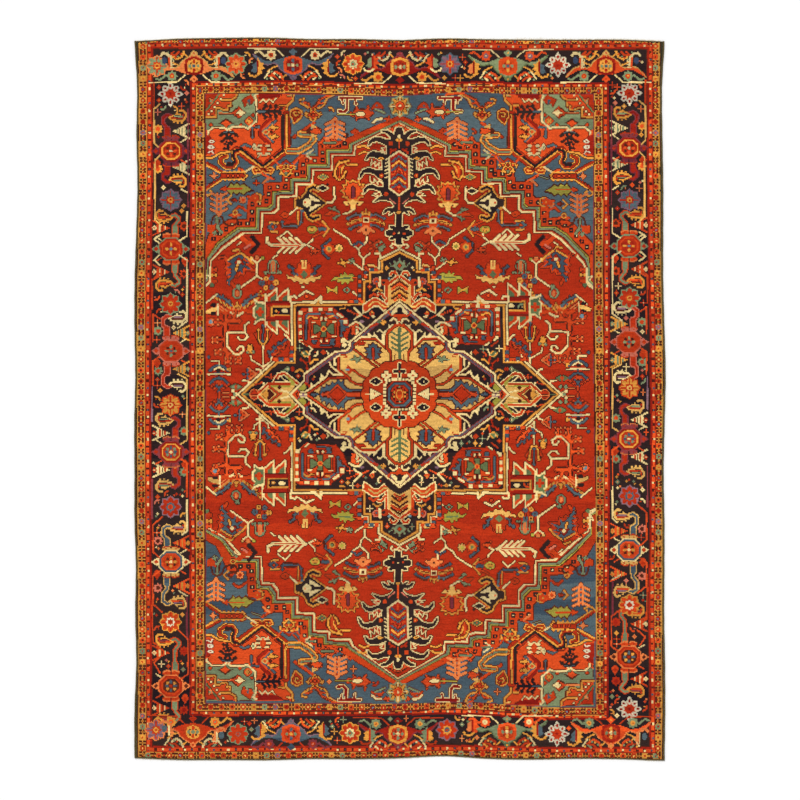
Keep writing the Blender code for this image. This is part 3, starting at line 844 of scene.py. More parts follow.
# Spandrels: flowers, combs and leaves on the blue, one of each in every quarter.
SPANDREL = """
A slanting red bar that ties a bracket to the vase: -96,269 92,269 -95,-270 91,-273
line:2.8 rust -10,-7 10,7

Two nested gold hooks with green between, open on the left: -98,257 95,256 -97,-255 93,-262
line:7.6/6.2/3.6/2.2 brown/gold/brick/sage -14,-9 -3,-9 7,-3 12,3 10,7 -2,8

A gold vase with a cross in it and two flaring arms: -87,283 82,283 -85,-281 79,-286
+shape gold 0,-6 9,1 8.5,3.5 4,4.5 3,6 0,6
+shape brick 0,-3.4 5.6,1 2.4,3.4 0,4
+line:2.6 orange 0,6 5,12 9,13
line:2 orange -4,1 4,1 | 0,-2 0,9
line:2 gold -1,6 -12,13 -13,16 -9,17
line:2.4 gold 1,6 10,10 14,18 24,23.5 36,23.5
line:2.6 orange 2,9 7,16 20,23 36,21
line:1 brown 11,9 16,17 25,21.5

A tight spiral with a small tail: -104,285 103,284 -103,-281 102,-281
petals:6 gold 0,0 6.4,0.4
oval brick 0,0 5.2,5
line gold 4,1 1,3.4 -2.4,1 -1,-2 1.6,-1
shape brick -4,-4 -2,-9 3,-4
line:1.2 gold -4,-5 -2,-9.5 4,-5

A dark dart on the left with an orange flower and two straw petals: -86,268 87,268 -85,-266 75,-276
shape brown -9,0 -4,4 -2,0 -4,-4
shape orange -4,0 1,4.5 7,2 7,-2 1,-4.5
=shape straw -3,7.5 4,4 -3,2.5

A short comb lying on its side, red with a green rib: -71,256 67,256 -73,-252 66,-256
shape orange -12,-1 -7,4 -5,7 0,4 4,6.5 9,2 12,0 9,-3 4,-5 0,-3 -5,-6 -7,-2
line:2.2 sage -5,0.5 6,0.5
dots:1.3 brown -3,3 2,3 -3,-2.5 2,-2.5

A dark red cross-bar on a hooked stem, edged in cream: -53,294 53,294 -54,-294 51,-294
line:4.4 cream -7,7 14,7 | 0,7 0,-4 -3,-7 -8,-6
line:3.4 cream -5,6 -4,2 | 8,6 9,1
line:2.6 madder -7,7 14,7 | 0,7 0,-4 -3,-7 -8,-6
line:1.6 madder -5,6 -4,2 | 8,6 9,1

A six-armed flower with a long pale eye: -40,285 40,287 -43,-282 35,-282
shape orange -10,2 -6,3 -4,8 0,5 6,5 8,10 10,4 14,1 10,-3 10,-7 5,-4 0,-4 -4,-7 -5,-3 -10,-2
oval cream 0.5,0 4.8,2
line:1.1 leaf -22,0 -6,0

An arched red bud with a green foot: -23,291 24,291 -23,-294 17,-294
shape rust -6,-2 -3,4 0,6 4,4 7,-1 3,0 -2,0
line:1.6 sage -2,-1 3,-3 8,-5
dots:2.4 slate 0,2.5

A cream comma with an orange bud at its end: -19,279 25,279 -20,-299 14,-299
line:2.2 cream -8,-2.5 -4,0.8 1,1.2
line:1 brown -6,-3.6 2,-0.6
shape orange 3,1 8,4 11,0 7,-2

A small red diamond: -45,267 43,268 -50,-258 43,-262
gem:1 rust 0,0 5,3.2
dots:1.4 brown 0,0

A gold and orange palmette with a red bar and curled shoulders: -114,231 108,233 -111,-229 110,-238
+line:1.8 brick 0,7 4,4 8,2.6
+shape gold 0,4 5,3 10,2 9,-2 6,-1 7,-6 0,-9
+dots:2.8 orange 5,1 2,-3
+line:1.6 orange 8,4 12,9 18,13
shape sage -2,-4 2,-4 0,-8
dots:2 madder 0,1

An orange fork with a dark spot: -130,221 130,219 -130,-213 123,-221
line:2.2 orange -8,5 -2,1 3,-1
line:2.2 salmon -1,0 -7,-5
line:1 sage -18,1 -9,4
dots:2 brown 4,0

A cream fork with a green foot: -91,244 88,244 -92,-242 88,-248
line:1.8 cream 4,5 -3,0 2,-4
line:1.8 sage -2,0 6,0.5
line:1.2 rust -3,0 -9,0 -16,-8

A slanting cream stroke on an orange tail: -152,232 150,231 -150,-223 151,-230
line:2.6 orange -9,-2 -5,-3.5
line:1.8 cream -3,-5 6,1

A long red leaf with a scalloped gold rim, held by two arms: -166,223.5 163,223 -167,-217 163,-227
line:3.4 gold -31,13 -12,2.5
line:2.2 brick -31,14.4 -12,4
line:3.2 gold -31,-16 -12,-3
line:2.6 brick -31,-14.4 -12,-1.6
line:2 gold -31,-17 -26,-20 -22,-17.5 -24,-15
dots:3.2 gold -9,3.6 -9,-3.6 -4.4,3.6 -4.4,-3.6 0.2,3.6 0.2,-3.6 4.8,3.6 4.8,-3.6 9.4,3.6 9.4,-3.6
shape gold -12,4 11,4 14,0 11,-4 -12,-4
shape brick -14,3 9,2.6 11,0 9,-2.6 -14,-3
dots:2.4 orange -6,0 -1,0 4,0
shape salmon -25,0 -21,1 -20,4 -18,0.5 -15,0 -18,-1 -20,-4 -22,-1

A long flat leaf with teeth above and below and a red tip: -162,210 160,209 -160,-203 160,-213
shape brown -13,0 -9,5 -7,8 -4,5 -1,7.5 2,4.5 6,6.5 9,4 17,-2 9,-4 6,-7 2,-4.5 -1,-7 -4,-4.5 -7,-7.5 -9,-5
shape leaf -12,0 -8,4 -7,6.5 -4.5,3.5 -1,6 1.5,3 6,5 8.5,2.5 14,-0.5 8,-2.6 6,-5.5 1.5,-3 -1,-5.5 -4.5,-3
  -7,-6 -8,-4
line:1.6 rust -15,0.5 4,0.5
shape rust -18,0 -12,3.4 -12,-2.4

A split gold bud and a small red flower side by side: -163,199 157,195 -166,-176 158,-196
line:2 gold -6,4 -10,0 -6,-4
shape brown -8,0 -3,3.2 0,0 -3,-3.2
shape brick -5,0 -1,1.6 0,-1.6
flower:3.4 salmon/rust 6,0

A round red flower held by a gold crescent: -145,201 146,197 -143,-196 143,-199
oval gold 2,0 5.4,5
oval slate 0,0 4,4.2
petals:6 rust 0,0 4.2,0.4
dots gold 0,0
line:2.6 rust -4,0 -7,1

A bent red stroke: -158,190 152,189 -159,-186 155,-183
line:2.2 rust -7,-1 -3,2.5 1,1 7,-4

A gold ring on a little orange star: -165,184 164,181 -167,-160 167,-174
gem:1 orange 0,0 6.5,3.2
oval gold 0,2.5 2.8,2.8
dots:1.8 rust 0,2.5
dots:1.8 sage 3,-2

A dark vine over a green stem, with a spiral end and a red tulip: -171,175 168,174 -171,-168 171,-168
line:2 brown -18,-1 -16,7 -12,9 -7,7 -5,1 0,-2 6,-1 9,3 7,6 3,5
line:4.2 sage -12,6 -12,-2 -8,-8
shape rust -22,-1 -18,-1 -13,0 -14,-6 -18,-9 -22,-7
shape sage -17,-8 -13,-5 -11,-10 -15,-12
line:1.4 rust 6,1 2,3

A comb with salmon teeth: -65,270 57,270 -63,-268 57,-269
+line:2.8 salmon 1,-6.5 9,-10 x4 0,4.89
+line:2.6 salmon 1.8,-9 1.8,8 0,11
gem:1 brick 0,-7.5 1.2,1.5 x4 0,4.89

A hanging comb: -181,195 179,194 -184,-191 181,-196
+line:2.2 salmon 1,7.5 8,11 | 1,2.17 8,5.67 | 1,-3.17 8,0.33 | 1,-8.5 8,-5
+line:2 salmon 1.8,10 1.8,-9 0,-12
gem:1 rust 0,8.5 1.2,1.5 0,3.17 1.2,1.5 0,-2.17 1.2,1.5 0,-7.5 1.2,1.5
"""
in_quarters(SPANDREL)
for x, y, heart in ((0, 293, "brick"), (-2, -293, "rust")):
    Pen(x, y).draw(BLOSSOM, "sage", "gold", "orange", heart, "cream")

# Field: flowers, leaves and combs scattered on the red, strung on pale stems. Each is drawn as it stands in
# the upper left quarter.
FIELD = """
A ragged blue lotus with a gold crest, a pale eye and an orange hook: -161,135 156,138 -168,-127 164,-130
line:2.6 orange -20,6 -15,7.5 -11,3 -12,-2 -9,-6 -12,-9 -9,-13 -11,-18
shape slate -0.5,10.5 3,9 6,6.5 9.5,4.5 13,0.5 9.5,-1 14,-5.5 8,-5 4,-5 4,-10 1,-7.5 -2,-9 -4,-13 -8,-17
  -10,-22 -12,-16 -8,-12 -12,-11 -9,-7 -13,-4 -9,-1.5 -12.5,2.5 -6,6.5
line:1.4 rust 6,6 5,4 14,1.5 8,-0.5 15,-6.5 8,-6 5,-4.5 4.5,-11 1,-8.5 -1,-13 -4,-12.5 | -7,6 -13.5,3.5 -9,0
  -14,-4 -9,-5.5 | -9,-8.5 -13,-10.5
line:2.6 rust -7,-19 -5,-23
line:2 gold -6,13 -1,14.6 2,11 10,5 14,0.5
line:1.6 gold 1,11 -6,7.5 -11,4
shape madder -5,0 5,0 0,7
dots:3.8 cream 0,2
line:2.2 gold -1.5,-1 -3,-6

A forked pale stem with three buds: -143,123 136,122 -152,-124 138,-118
line:1.7 cream -17,-12 0,0 0,13 -5,16.5
line:1.5 cream 0,13 4,16.5 | 0,0 5,-3
dots:4.4 salmon 0,18.5
dots:2.8 straw -5.5,18
dots:3.2 leaf 5.5,18

A green bell with an orange tongue: -127,133 121,133 -140,-131 125,-129
shape sage 0,6.5 -4,5 -5.5,1 -5,-4 -9,-6 -8,-8 8,-8 9,-6 5,-4 5.5,1 4,5
line:1.2 brick -3,2 -3,-8 | 3,2 3,-8
line:3.2 salmon 0,4 0,-4

Six small rings round a red spot: -131,116 127,118 -138,-113 128,-115
oval gold -3,4.4 2.3,2.3 7,0.7 2.9,2.9 -3.2,-4.8 2.3,2.3
oval slate 2.5,4.6 2.6,2.6 2.7,-4.2 2.5,2.5 -7,0 3,3
dots brown -3,4.4 2.5,4.6 7,0.7 2.7,-4.2 -3.2,-4.8 -7,0
dots:3 rust 0,0

A green ring round an orange bud: -163,106 154,106 -164,-97 161,-101
oval sage 0,0 4.8,5.6
dots:5 sage 1.5,6
oval brick 0,-0.5 2.8,3.8
oval salmon 0,-0.5 1.7,2.6

A gold crown between two pairs of serrated wings, over a pale chevron: -163,92 156,91 -164,-83 161,-85
+line:3.2 rust 5,-3 13,-5 18,-3
+line:3.6 slate 6,2 12,8 20,12
+dots:2.6 slate 8,6 14,11 11,4 17,9
+line:2.2 gold 7,-1 14,4 21,9
shape gold -5,3.5 -3,1 0,5.5 3,1 5,3.5 4,-2 0,-4 -4,-2
line:2.2 cream -6,-5.5 0,-9 6,-5.5
line:1.8 gold 20,9 24,16 | 21,11 28,12
line:1.6 cream -31,4 -20,13

A pale leaf with two dark ones behind a cream bar: -186,90 183,92 -184,-83 180,-82
shape straw -8,-1.5 -3,1 4,2.4 4,-1 -2,-4 -8,-4.5
oval navy -0.5,3.6 2.8,1.8 -0.5,-4.2 2.8,1.8
line:1.6 cream 4,5 4,-6
line salmon 5,4 13,-2
line:1.1 salmon 5,1 9,-2

A red star with a pale blue heart: -189,77 182,83 -185,-72 185,-69
flower:4.2 orange/sky 0,0

A dark box between two rows of cream-edged teeth, on the star's side: -121,88 117,93 -124,-84 123,-86
shape madder -13.4,10 12,10 12,-10 -13.4,-10
shape brick -13.4,6 12,6 12,-6 -13.4,-6
=shape cream -13,10 -13,14.5 -2.5,23.5 -1.5,23 -1.5,10 x2 11.5,0
=shape rust -11.6,10 -11.6,13.6 -3,21 -3,10 x2 11.5,0
=shape moss -8.4,10 -8.4,13 -3,17 -3,10 x2 11.5,0
=line:1 brown -13,9.4 -1.5,9.4 x2 11.5,0
shape gold -8.5,5 12,5 12,-5 -8.5,-5
shape navy -6.6,3.4 12,3.4 12,-3.4 -6.6,-3.4
oval cream 6,0.3 3.2,2
line:1.4 cream -13.6,17 -13.6,-16

A green leaf with a red cross, its edge cream and toothed: -140,87 135,92 -141,-77 140,-84
shape cream -7,14 -2,11 6,9.5 6,-9 0,-8.5 -6,-13 -4.5,-6.5 -7,-4.5 -7,4.5 -4.5,7
shape moss -5.46,10.92 -1.56,8.58 4.68,7.41 4.68,-7.02 0,-6.63 -4.68,-10.14 -3.51,-5.07 -5.46,-3.51 -5.46,3.51
  -3.51,5.46
gem:0.3 brick 0,0 4.2,1.7
gem:0.3 rust 0,0 1.8,4.2

An orange comb with pronged ends, and a pale double spiral: -165,60 160,61 -164,-51 161,-53
line:4.4 orange -9.4,24 -9.4,-10 -7,-22 | -9,15 -20,17 | -9,0 -20,-1 | -7,-9 -17,-13 | -2,18 1,28
dots:2.2 salmon -9.6,-24 -9.6,-20 -4.4,-24.4 -4.6,-19.6 -22.6,15 -22.6,19 -17.4,14.6 -17.6,19.4 -22.6,-3
  -22.6,1 -17.4,-3.4 -17.6,1.4 -19.6,-15 -19.6,-11 -14.4,-15.4 -14.6,-10.6 -1.6,26 -1.6,30 3.6,25.6 3.4,30.4
line:4.4 orange -7,-14 3,-16 3,-22
dots:2.2 salmon 0.4,-24 0.4,-20 5.6,-24.4 5.4,-19.6
line:4.6 orange -9.4,18 4,18
line:1.9 cream 14,17 10,13.4 10,6.8 -7.8,6.2 -7.8,-7.7 -5,-10.4 -0.6,-15 4,-15.4 9,-11.6 7.8,-7.7 4.4,-7.7
  2.2,-10.4
line:1.7 cream 10,6.8 12.8,2.3 9.4,-1 5,-1 2.8,1.8

Two blue chevrons, a dark eye and a cream bar over an orange heart: -181,21 178,26 -181,-13 178,-12
line:3.8/2.6 brown/slate -9,7.4 -5,11 0,12.6 5,11 9,7.4
line:1.6 gold 8.4,8.4 11,9.6 11,7
line:1.5 cream -4.4,8.6 0,11 5,8 | 0,13.6 0,17 -8,17
oval navy -0.6,7.6 2.4,1.8
shape slate -6,5.6 6,5.6 4,3 -4,3
line:1.6 cream -11,3.6 -4,4.2 4,4.2 11,3.6
line:3.6/2.4 brown/slate -9,-5.4 -4.6,-1.4 0,0 4.6,-1.4 9,-5.4
line:2 slate 0,3 0,0
+dots:2.2 orange 7.4,-8.4 4.4,-10.4 10,-6.6
shape slate -4,-6 4,-6 3,-9.6 1.6,-11 1.6,-14 -1.6,-14 -1.6,-11 -3,-9.6
oval orange 0,-4.6 3.2,2.6
line:2 orange 0,-14 0,-17
line:1.4 salmon 4,-15 10,-15
dots:3 slate -10.4,20.6

A gold bud on a pale stem that joins the tulip's: -150,50 143,58 -147,-37 143,-45
oval gold 0,0 3.4,4.8
dots:2.8 sage -2.6,-3.5 3.4,-3
line:1.3 cream 0.6,-7 1.7,-11 12.8,-17.7

A blue and gold tulip on a long pale stem: -137,62 130,65 -140,-49 134,-54
+line:1.6 rust 8,3 2.5,-7
+line:3.2 gold 4.6,6.5 4,-3 1,-7
line:3 slate 0,11 0,-4
line:1.6 cream 0,-9 0,-32
line:1.3 cream 8.7,-20 7.6,-25 0,-30

A blue and a red zigzag side by side: -122,52 121,52 -128,-39 125,-39
line:3.2 slate -8,-9 -9,-5 -5,-5 -4,0 -1,-1 1,4 4,3 7,7
line:3.4 orange -3,-7 1,-5 1,-1 5,-1 7,3

An orange chevron with a slate-blue bud: -149,25 147,39 -157,-16 147,-23
shape orange -2,4 5,0 -2,-4
line:1.5 salmon -3,6 5.6,0 -2,-5.6
=line:1.6 slate -4,0 -3.4,5
line:2.2 slate -8,0 -3,0

A red spot between two green leaves: -164,12 162,21 -164,-4 160,-11
gem:0.9 moss 0,0 6.5,3.4
line:1.4 brick 0,4 0,-4
dots:3.6 orange 0,0

A black shield with hooked corners, gold at its edge and cream inside: -88,196 88,196 -88,-189 88,-196
shape gold 15.8,0 -4,14.8 -8.8,9 -11.8,6.8 -17.8,4.8 -17.8,-4.8 -11.8,-6.8 -8.8,-9 -4,-14.8
=line:6.2 gold -4,11 -3,14 1,16 6,14
shape navy 14,0 -4,13 -7,9 -10,5 -16,3 -16,-3 -10,-5 -7,-9 -4,-13
=line:2.6 navy -4,11 -3,14 1,16 6,14
oval cream -5,0.4 4.2,4.4
=shape cream -3,9 9,1.6 3,1.6 1.4,3 -2,3
dots:2 orange -7,0.4
line:2 cream 14.7,0 19.6,0.4 22.6,4 22,16

A small black leaf edged in cream: -77.5,211 72,208 -78,-201 79,-207
gem:0.9 cream 0,0 6.4,3.6
gem:0.9 navy 0,0 4.8,2.4
dots:1.8 navy -6,2 5,3.4

A blue hook beside a gold line, a red flower and a pale stroke: -105,180 105,181 -105,-173 105,-178
line:3.2 slate -13,-3 -12,-7 2,-7 6,-3 7,8
line:1.4 gold 3,-5.5 3,7
gem:0.8 rust -10,4 4.4,3
dots:1.4 brown -10,4
line:1.8 cream -5,5 2,11

An orange palmette with spiked edges over a gold butterfly: -47,208 48,206 -52,-202 52,-205
+shape gold 0,11.6 3.48,9.28 6.96,11.6 6.96,6.96 11.6,6.96 9.28,2.9 12.76,0 8.7,-2.9 11.6,-6.96 6.38,-6.96
  4.64,-10.44 0,-10.44
+shape orange 0,9.8 2.94,7.84 5.88,9.8 5.88,5.88 9.8,5.88 7.84,2.45 10.78,0 7.35,-2.45 9.8,-5.88 5.39,-5.88
  3.92,-8.82 0,-8.82
line:2.8 mulberry 0,3 0,-6
+shape straw 0,-8 2,-10 10,-11 7,-14.5 3,-13.5 2,-18 0,-18
+dots brown 4.5,-12.5
line:1.7 cream -10,-23 -5,-22 1,-18

A green leaf of two blades with a red one between: -66,186 63,185 -66,-178 65,-181
shape sage 7,-1 1,6.5 -6,5 -1,2 | 7,-1 1,-7.5 -2,-5 2,-1.5
shape rust 6,-1 -10,-2.6 -5,1.5

A gold bent leaf round an orange bar: -59,229 57,229 -66,-226 63,-231
line:3.6 gold 7,9 -2,7 -6,0 -6,-6 -2,-9 2.5,-6.5 4,-2
line:1.8 gold 16,5.3 4,5.3 1,1.7 -0.3,-3.2
line:2.4 orange -1.6,3 -1.6,-7

A green diamond with a red spot: -77,222 70,222 -78,-219 77,-224
gem:1 gold 0,0 6.4,3.6
gem:1 moss 0,0 5.2,2.8
dots:1.8 rust 0,0

A small blue flower with two gold leaves: -128,172 122,174 -127,-166 125,-169
line:2.4 gold -2,4 6,4 | -1,-4 5,-5
gem:0.8 slate 0,0 4.6,4
dots:2.4 rust 1,0

A cream feather with four pairs of teeth, its stem curled: -113,154 109,157 -112,-145 115,-150
line:2.8 cream -20,7.5 -20.5,3 -15,-0.5 18,0
line:2.4 cream -2,0.5 -9,7 x4 6,0 | -2,-1 -9,-7.5 x4 6,0
line:1 rust -13,-0.4 14,0

A forked pale twig: -93,154 89,157 -91,-144 94,-151
line:1.5 cream 0,0 5.5,5 6,8 | 0,0 6.7,-3.6

A bent pale twig: -113,166 107,168 -115,-159 108,-166
line cream -7,-4 0,2 5,-3
line:1.4 cream -14,-25 -10,-22

A black chevron with a curled red flower behind it: -149,155 144,155 -152,-154 149,-151
line:4.4 rust -9,6 -3,1 5,0
line:2.2 pink -6,-4 -1,-1
line:3.6 navy 1,7 7,0 1,-8
line:1.2 cream -14,-1 -10,2

A gold bud and a blue one between red and gold strokes: -82,170 79,170 -79,-163 84,-167
line:1.6 rust -4,7.5 10,1.5 | -5,-8 10,-1
oval leaf -6,-0.5 5,3.6
oval gold -6,-0.5 3.6,2.4
oval slate 4.4,0 4.2,2.6
line:1.8 gold 4.4,8 11,0 5.6,-7

A pale vine that forks three times: -41.5,150 40,150 -40,-147 46,-148
line:1.6 cream -25,19.5 -10,10 -7.4,5 0,0 1.2,-6 4.8,-9.2 4.8,-21 -5,-14 | 0,0 8,7.3 8.3,12.2
line:1.4 cream 4.8,-9.2 11.6,-4.3

A wide flower with three pairs of wings, a gold crown and a pale heart: -34,179 33,178 -37,-173 34,-174
+line:3.2 slate 3,4 10,5.5 18,1.5
+line:2.8 gold 3,0 10,-0.5 18,-4
+line:0.9 brown 5,-0.2 13,-1.6
+line:3 slate 4,-5 10,-5.5 16,-9
gem rust 0,0 4.2,9
shape gold -4,4.5 -4.5,9 -1.6,7.5 0,11.5 1.6,7.5 4.5,9 4,4.5
gem:0 cream 0,0 3.2,2.8
gem:0 brown 0,0 1.7,1.4
+shape salmon 0,-5 4,-7.5 9,-11 8,-13 4,-11.5 2.4,-14.5 0,-15.5
dots:2.4 brown 0,-10

A red flower between a blue crescent and a pale blossom: -71,150 66,152 -68,-146 72,-148
line:3.2 slate 1,9 -6,3 -6,-4 -1,-9
petals:7 rust 0,0 5.2,0.8
oval gold 0,0 3.2,3.2
oval moss 0,0 1.6,1.6
flower:3.6 straw/leaf 10,0.6

A green fan behind a forked red flower: -24,152 23,151 -22,-146 17,-147
shape sage -2,0 4,7 9,3 9,-1 6,-4 3,-6
line:0.9 brick 2,1 8,4
line:2.8 orange 3,6 -2,3 -6,4
line:2.4 orange -6,-2 -1,1 2,-6

A gold star with a grey-green bud at its tip: -55,136 50,137 -57,-129 52,-131
shape gold -9,0 -4,1 -4,5 0,1.5 5,1.5 1,-1 0,-4.5 -3,-2
shape sage 3,3 8,5 10,1 6,-1
dots cream 3.5,0.5

A blue arc: -41,156 40,157 -43,-155 40,-154
line:2.2 slate -5,-2 0,1 4,-1

A gold arc: -29,133 25,133 -30,-127 27,-127
line:2 straw -5,-2 -2,1 2,1 5,-1.5

A red flower with two blue horns and a straw crescent below: -96,124 93,124 -95,-114 99,-119
+shape rust 0,9 3,9 5.4,12.6 7.6,4 7,-2 0,-4
+line:3.4 slate 7.6,0 10.6,2 11,6 14.6,8.6
+shape straw 0,-4 4,-3 8,0 10,-2.4 15,-1.4 17.6,0.6 16,-4 12.4,-3.8 10,-7 6,-5.6 3.4,-9.4 0,-7.4
shape straw -2.4,6 -2.8,15 2.8,15 2.4,6
line:1.2 brick 0,15 0,9
gem:1 moss 0,0.5 3.8,4.2
dots:2.4 cream -1,-12

A gold lobed leaf with a green rib and a red stem: -58,121 52,122 -58,-118 55,-118
shape leaf -12,-3.7 -8,0.5 -2,1 -2,4 1,3 3,6 5.5,2.6 9,4.5 12.2,2.6 10,0 11.3,-3 8,-3 6.3,-6 3,-4 0,-6.3
  -1,-3.5 -4,-4.5 -5,-1.5 -8,-2
line:1.6 moss -3,-0.6 8,0
line:1.6 orange 12,0.5 20,0.5

A gold bow: -68,109 63,109 -65,-105 63,-107
shape leaf -5,3.6 -5,-3.4 0,0 | 5,3.6 5,-3.4 0,0
line:1.2 gold -5,3 5,-3

A small green diamond by a pale stroke: -53,109 48,109 -52,-108 49,-108
gem:1 sage 0,0 4.2,3.4
dots:2.2 rust 0,0
line:1.6 cream 6,-2 10.5,-6

A cream chevron over a red spot: -94,105 89,106 -94,-101 92,-104
line:2 cream -7,-2 0,3 7.5,-0.5
dots:3.2 orange 0.7,-2.6

A red speck with two prongs: -85,148 81,149 -82,-144 87,-146
gem:0.9 orange 0,0 4.4,2.8
dots:1.8 orange -4,3 -4,-3

Two gold strokes: -36,249 36,249 -36,-250 36,-250
line:1.8 gold -6,3 0,4.5 5,1.5
line:1.6 gold -5,-4 0,-1.5 5,-3

A pale stem along the field's edge with small coloured flags: -190,123 187,123 -195,-121 190,-121
line:2.2 cream 0,8 0,-6 -6,-11
gem:0 orange 4,6.5 3,1.8
gem:0 gold 4,1 3,1.8
gem:0 rust 4,-5 3,1.8
dots:4 moss 2,-9
"""
in_quarters(FIELD)

# Pendants: a black tree above the medallion and one below it, cream at the edge, holding a six-sided panel.
# The outline of the upper tree's right half, from its top down to its foot
TREE_EDGE = """
0,272 3,271 4.4,267 4.4,264 8,266.8 12,269 17,268.8 17,267.2 12.4,265.8 9,262.4 8.6,259.4 13,259.8 19,261.8
25.6,261.4 29.6,258 31,253.4 29.4,254 26.6,257 22,257.6 17,255.8 12.6,253.4 12.6,247 11.8,244 20,247.2
27,247.6 31,245 33.6,239.4 31.6,239.6 29.4,242.6 24.6,242.2 20.4,239.4 17,238.4 16.6,229.4 21,228.6 30,231.4
36,229.4 39,225 40,220.2 38,221.6 35,226 30,226.4 24.6,224.8 20.4,220.8 16.4,219 15.4,212.4 20,211.6 27,215
32,213.4 35,209.6 36,205.2 34,206.4 31,210 26,210.4 19,207.8 16.6,203.6 21,201.6 25.6,197 22.6,197.8
18,199.4 13,199 8,197.4 5,194 5.6,191.4 10,191.4 14,189.4
16,185.4 13.6,186 11,188.2 8,188.2 10,184.4 7.4,185.6 4.6,187.4 3,184.8 3,172 6,173.2 9.4,173 9,170.8 6,169.4
10,169.4 13.4,167.6 13.4,164.2 10,162.6 6,163 9,161.4 9,159.4 6,159.6 3,161 3,154 0,154
"""
TREE = """
+line:1.1 cream 12.8,252 17.6,251 14.4,247 18.4,248.4 | 17.4,232.6 20.6,229.8 19.6,236.4 23.6,232.2 23.8,237.4
  28,233.6 27.4,240 | 16.4,214.6 20.2,219.8 21,215 24.6,220.4 25,216.4 29,217.4 28.6,222.4
+line:1 cream 19,206.6 25,205.4 20,202.8 26.6,203.4
+shape brick 2,250.6 8.8,250.6 9.4,244.4 3,248.6
+shape cream 0,249 10.9,242 10.9,210.4 0,202.4
+shape madder 0,246.6 9.1,241 9.1,211.4 0,204.8
+line:2.4 slate 0,242.5 6.5,237.5
+line:1.9 gold 0,238 6.5,233
+line:2.4 slate 0,234 6.5,229
+line:2.2 orange 0,229.5 6.5,224.5
+line:2.4 slate 0,225 6.5,220
+line:1.9 gold 0,220.5 6.5,215.5
+line:2.4 slate 0,216.5 6.5,211.5
line:2.4 orange 0,212 0,208
+line:1.3 cream 11,240.6 13.6,239.4 x6 0,-3.6
+dots:4.6 rust 8.4,255.4
+dots:4.2 rust 17.4,223.4 13,204.8
+dots:1.6 gold 17.4,223.4
+dots:2.6 rust 5,165.4
+gem:1 gold 18,240.6 3.2,1.8
+dots:1.6 brown 18,240.6
+line:1.1 pink 9.6,200.4 3,195
line:1.8 orange 0,201 0,189.4
oval gold 0,186.6 2.4,1.3
oval cream 0,262.6 1.5,2.1
line:2.4 gold -2,259.2 2,259.2
line:1.5 orange 0,258 0,251
dots:1.8 cream 0,166
"""
for pen in (Pen(-1, 0), Pen(-2, 2, flip=(1, -1))):
    pen.draw("+shape orange 0,276 14,268 9,262 0,262")
    pen.stroke("line", "cream", spelled(TREE_EDGE), 2.1, "+")
    pen.stroke("shape", "navy", spelled(TREE_EDGE), copies="+")
    pen.draw(TREE)

# Medallion. A black star with stepped arms, outlined in gold and cream, and in it a diamond whose gold heart
# holds a red rosette. It is drawn in halves, up and down from its middle, each the same left and right.
# Columns: half width, height above and below the middle for each corner of the star, and the shares of an
# edge's spread by which that corner moves sideways and up.
STAR = np.array([
    (156.5, 0, 0, 1.5, 0),
    (121.5, 31.5, 30.5, 0.4, 1),
    (104, 31.5, 30.5, 1, 1),
    (104, 88.4, 95, 1, 1),
    (34.5, 89.4, 95.5, 1, 1),
    (34.5, 112, 119, 1, 1),
    (28.5, 112, 119, 1, 1),
    (28.5, 121.5, 127, 1, 1),
    (17, 122, 127, 1, 1),
    (17, 133, 137, 1, 0.6),
    (0, 141.5, 147, 0, 1.1),
])
STAR_EDGES = (("brown", 5.4), ("cream", 4.5), ("brown", 2.7), ("gold", 1.7), ("brown", -0.4), ("navy", -1.0))
CHECK_PITCH = 4.2
# Pairs of the star's corners with checks along the edge between them
CHECKED_EDGES = ((4, 5), (6, 7))
STAR_HOOKS = """
+line:1.8 cream 150,10.4 151.6,13.4 156.5,14 | 137.6,20.6 139.4,24.6 143,25.2
+oval cream 166.6,3.4 2,1.6 163.2,0.8 1.6,1.6
+oval sage 165,0.4 1.6,1.4 166.4,7.4 1.6,1.8 161,7.6 1.6,1.8
"""


def star_half(pen, low):
    """The star's outline, its checks and its hooks; low is 1 for the lower half."""
    corners = STAR[:, [0, 1 + low]]
    for dye, spread in STAR_EDGES:
        pen.stroke("shape", dye, [(0, 0), *(corners + spread * STAR[:, 3:])], copies="+")
    for pair in CHECKED_EDGES:
        run = corners[list(pair)] + STAR_EDGES[0][1]
        count = max(round(np.linalg.norm(run[1] - run[0]) / CHECK_PITCH), 2)
        for number, place in enumerate(evenly(run, count + 1)):
            pen.stroke("gem", "brown", [place, (2.4, 2.2)], 0, "+")
            pen.stroke("gem", ("orange", "slate")[number % 2], [place, (1.8, 1.5)], 0, "+")
    pen.at(0, corners[-1, 1]).draw("+line:1.6 cream 0,5 3,8 7,9 9,6.5 7,5")
    pen.at(0, corners[-2, 1]).draw("+line:2 cream 19,4 20,8 24,8")
    pen.draw(STAR_HOOKS)


# The next texts count from the middle of the rug, in the upper left quarter.
# Checks and hooks where the star's arm meets its point
STAR_NOTCH = """
line:3 brick -108.2,52.4 -108.2,39.4 -126,39.4
gem:0 orange -108.2,50.6 1.9,1.4 -108.2,43.2 1.9,1.2 -113.4,39.4 2.1,1.9 -124.6,39.4 2.1,1.9
gem:0 slate -108.2,46.9 1.9,1.9 -108.2,39.3 2,1.8 -118.8,39.4 2.2,2
dots cream -108.2,38 -118.8,38
line:1.6 cream -115.6,64.4 -113.2,63 -109.6,58.4
"""
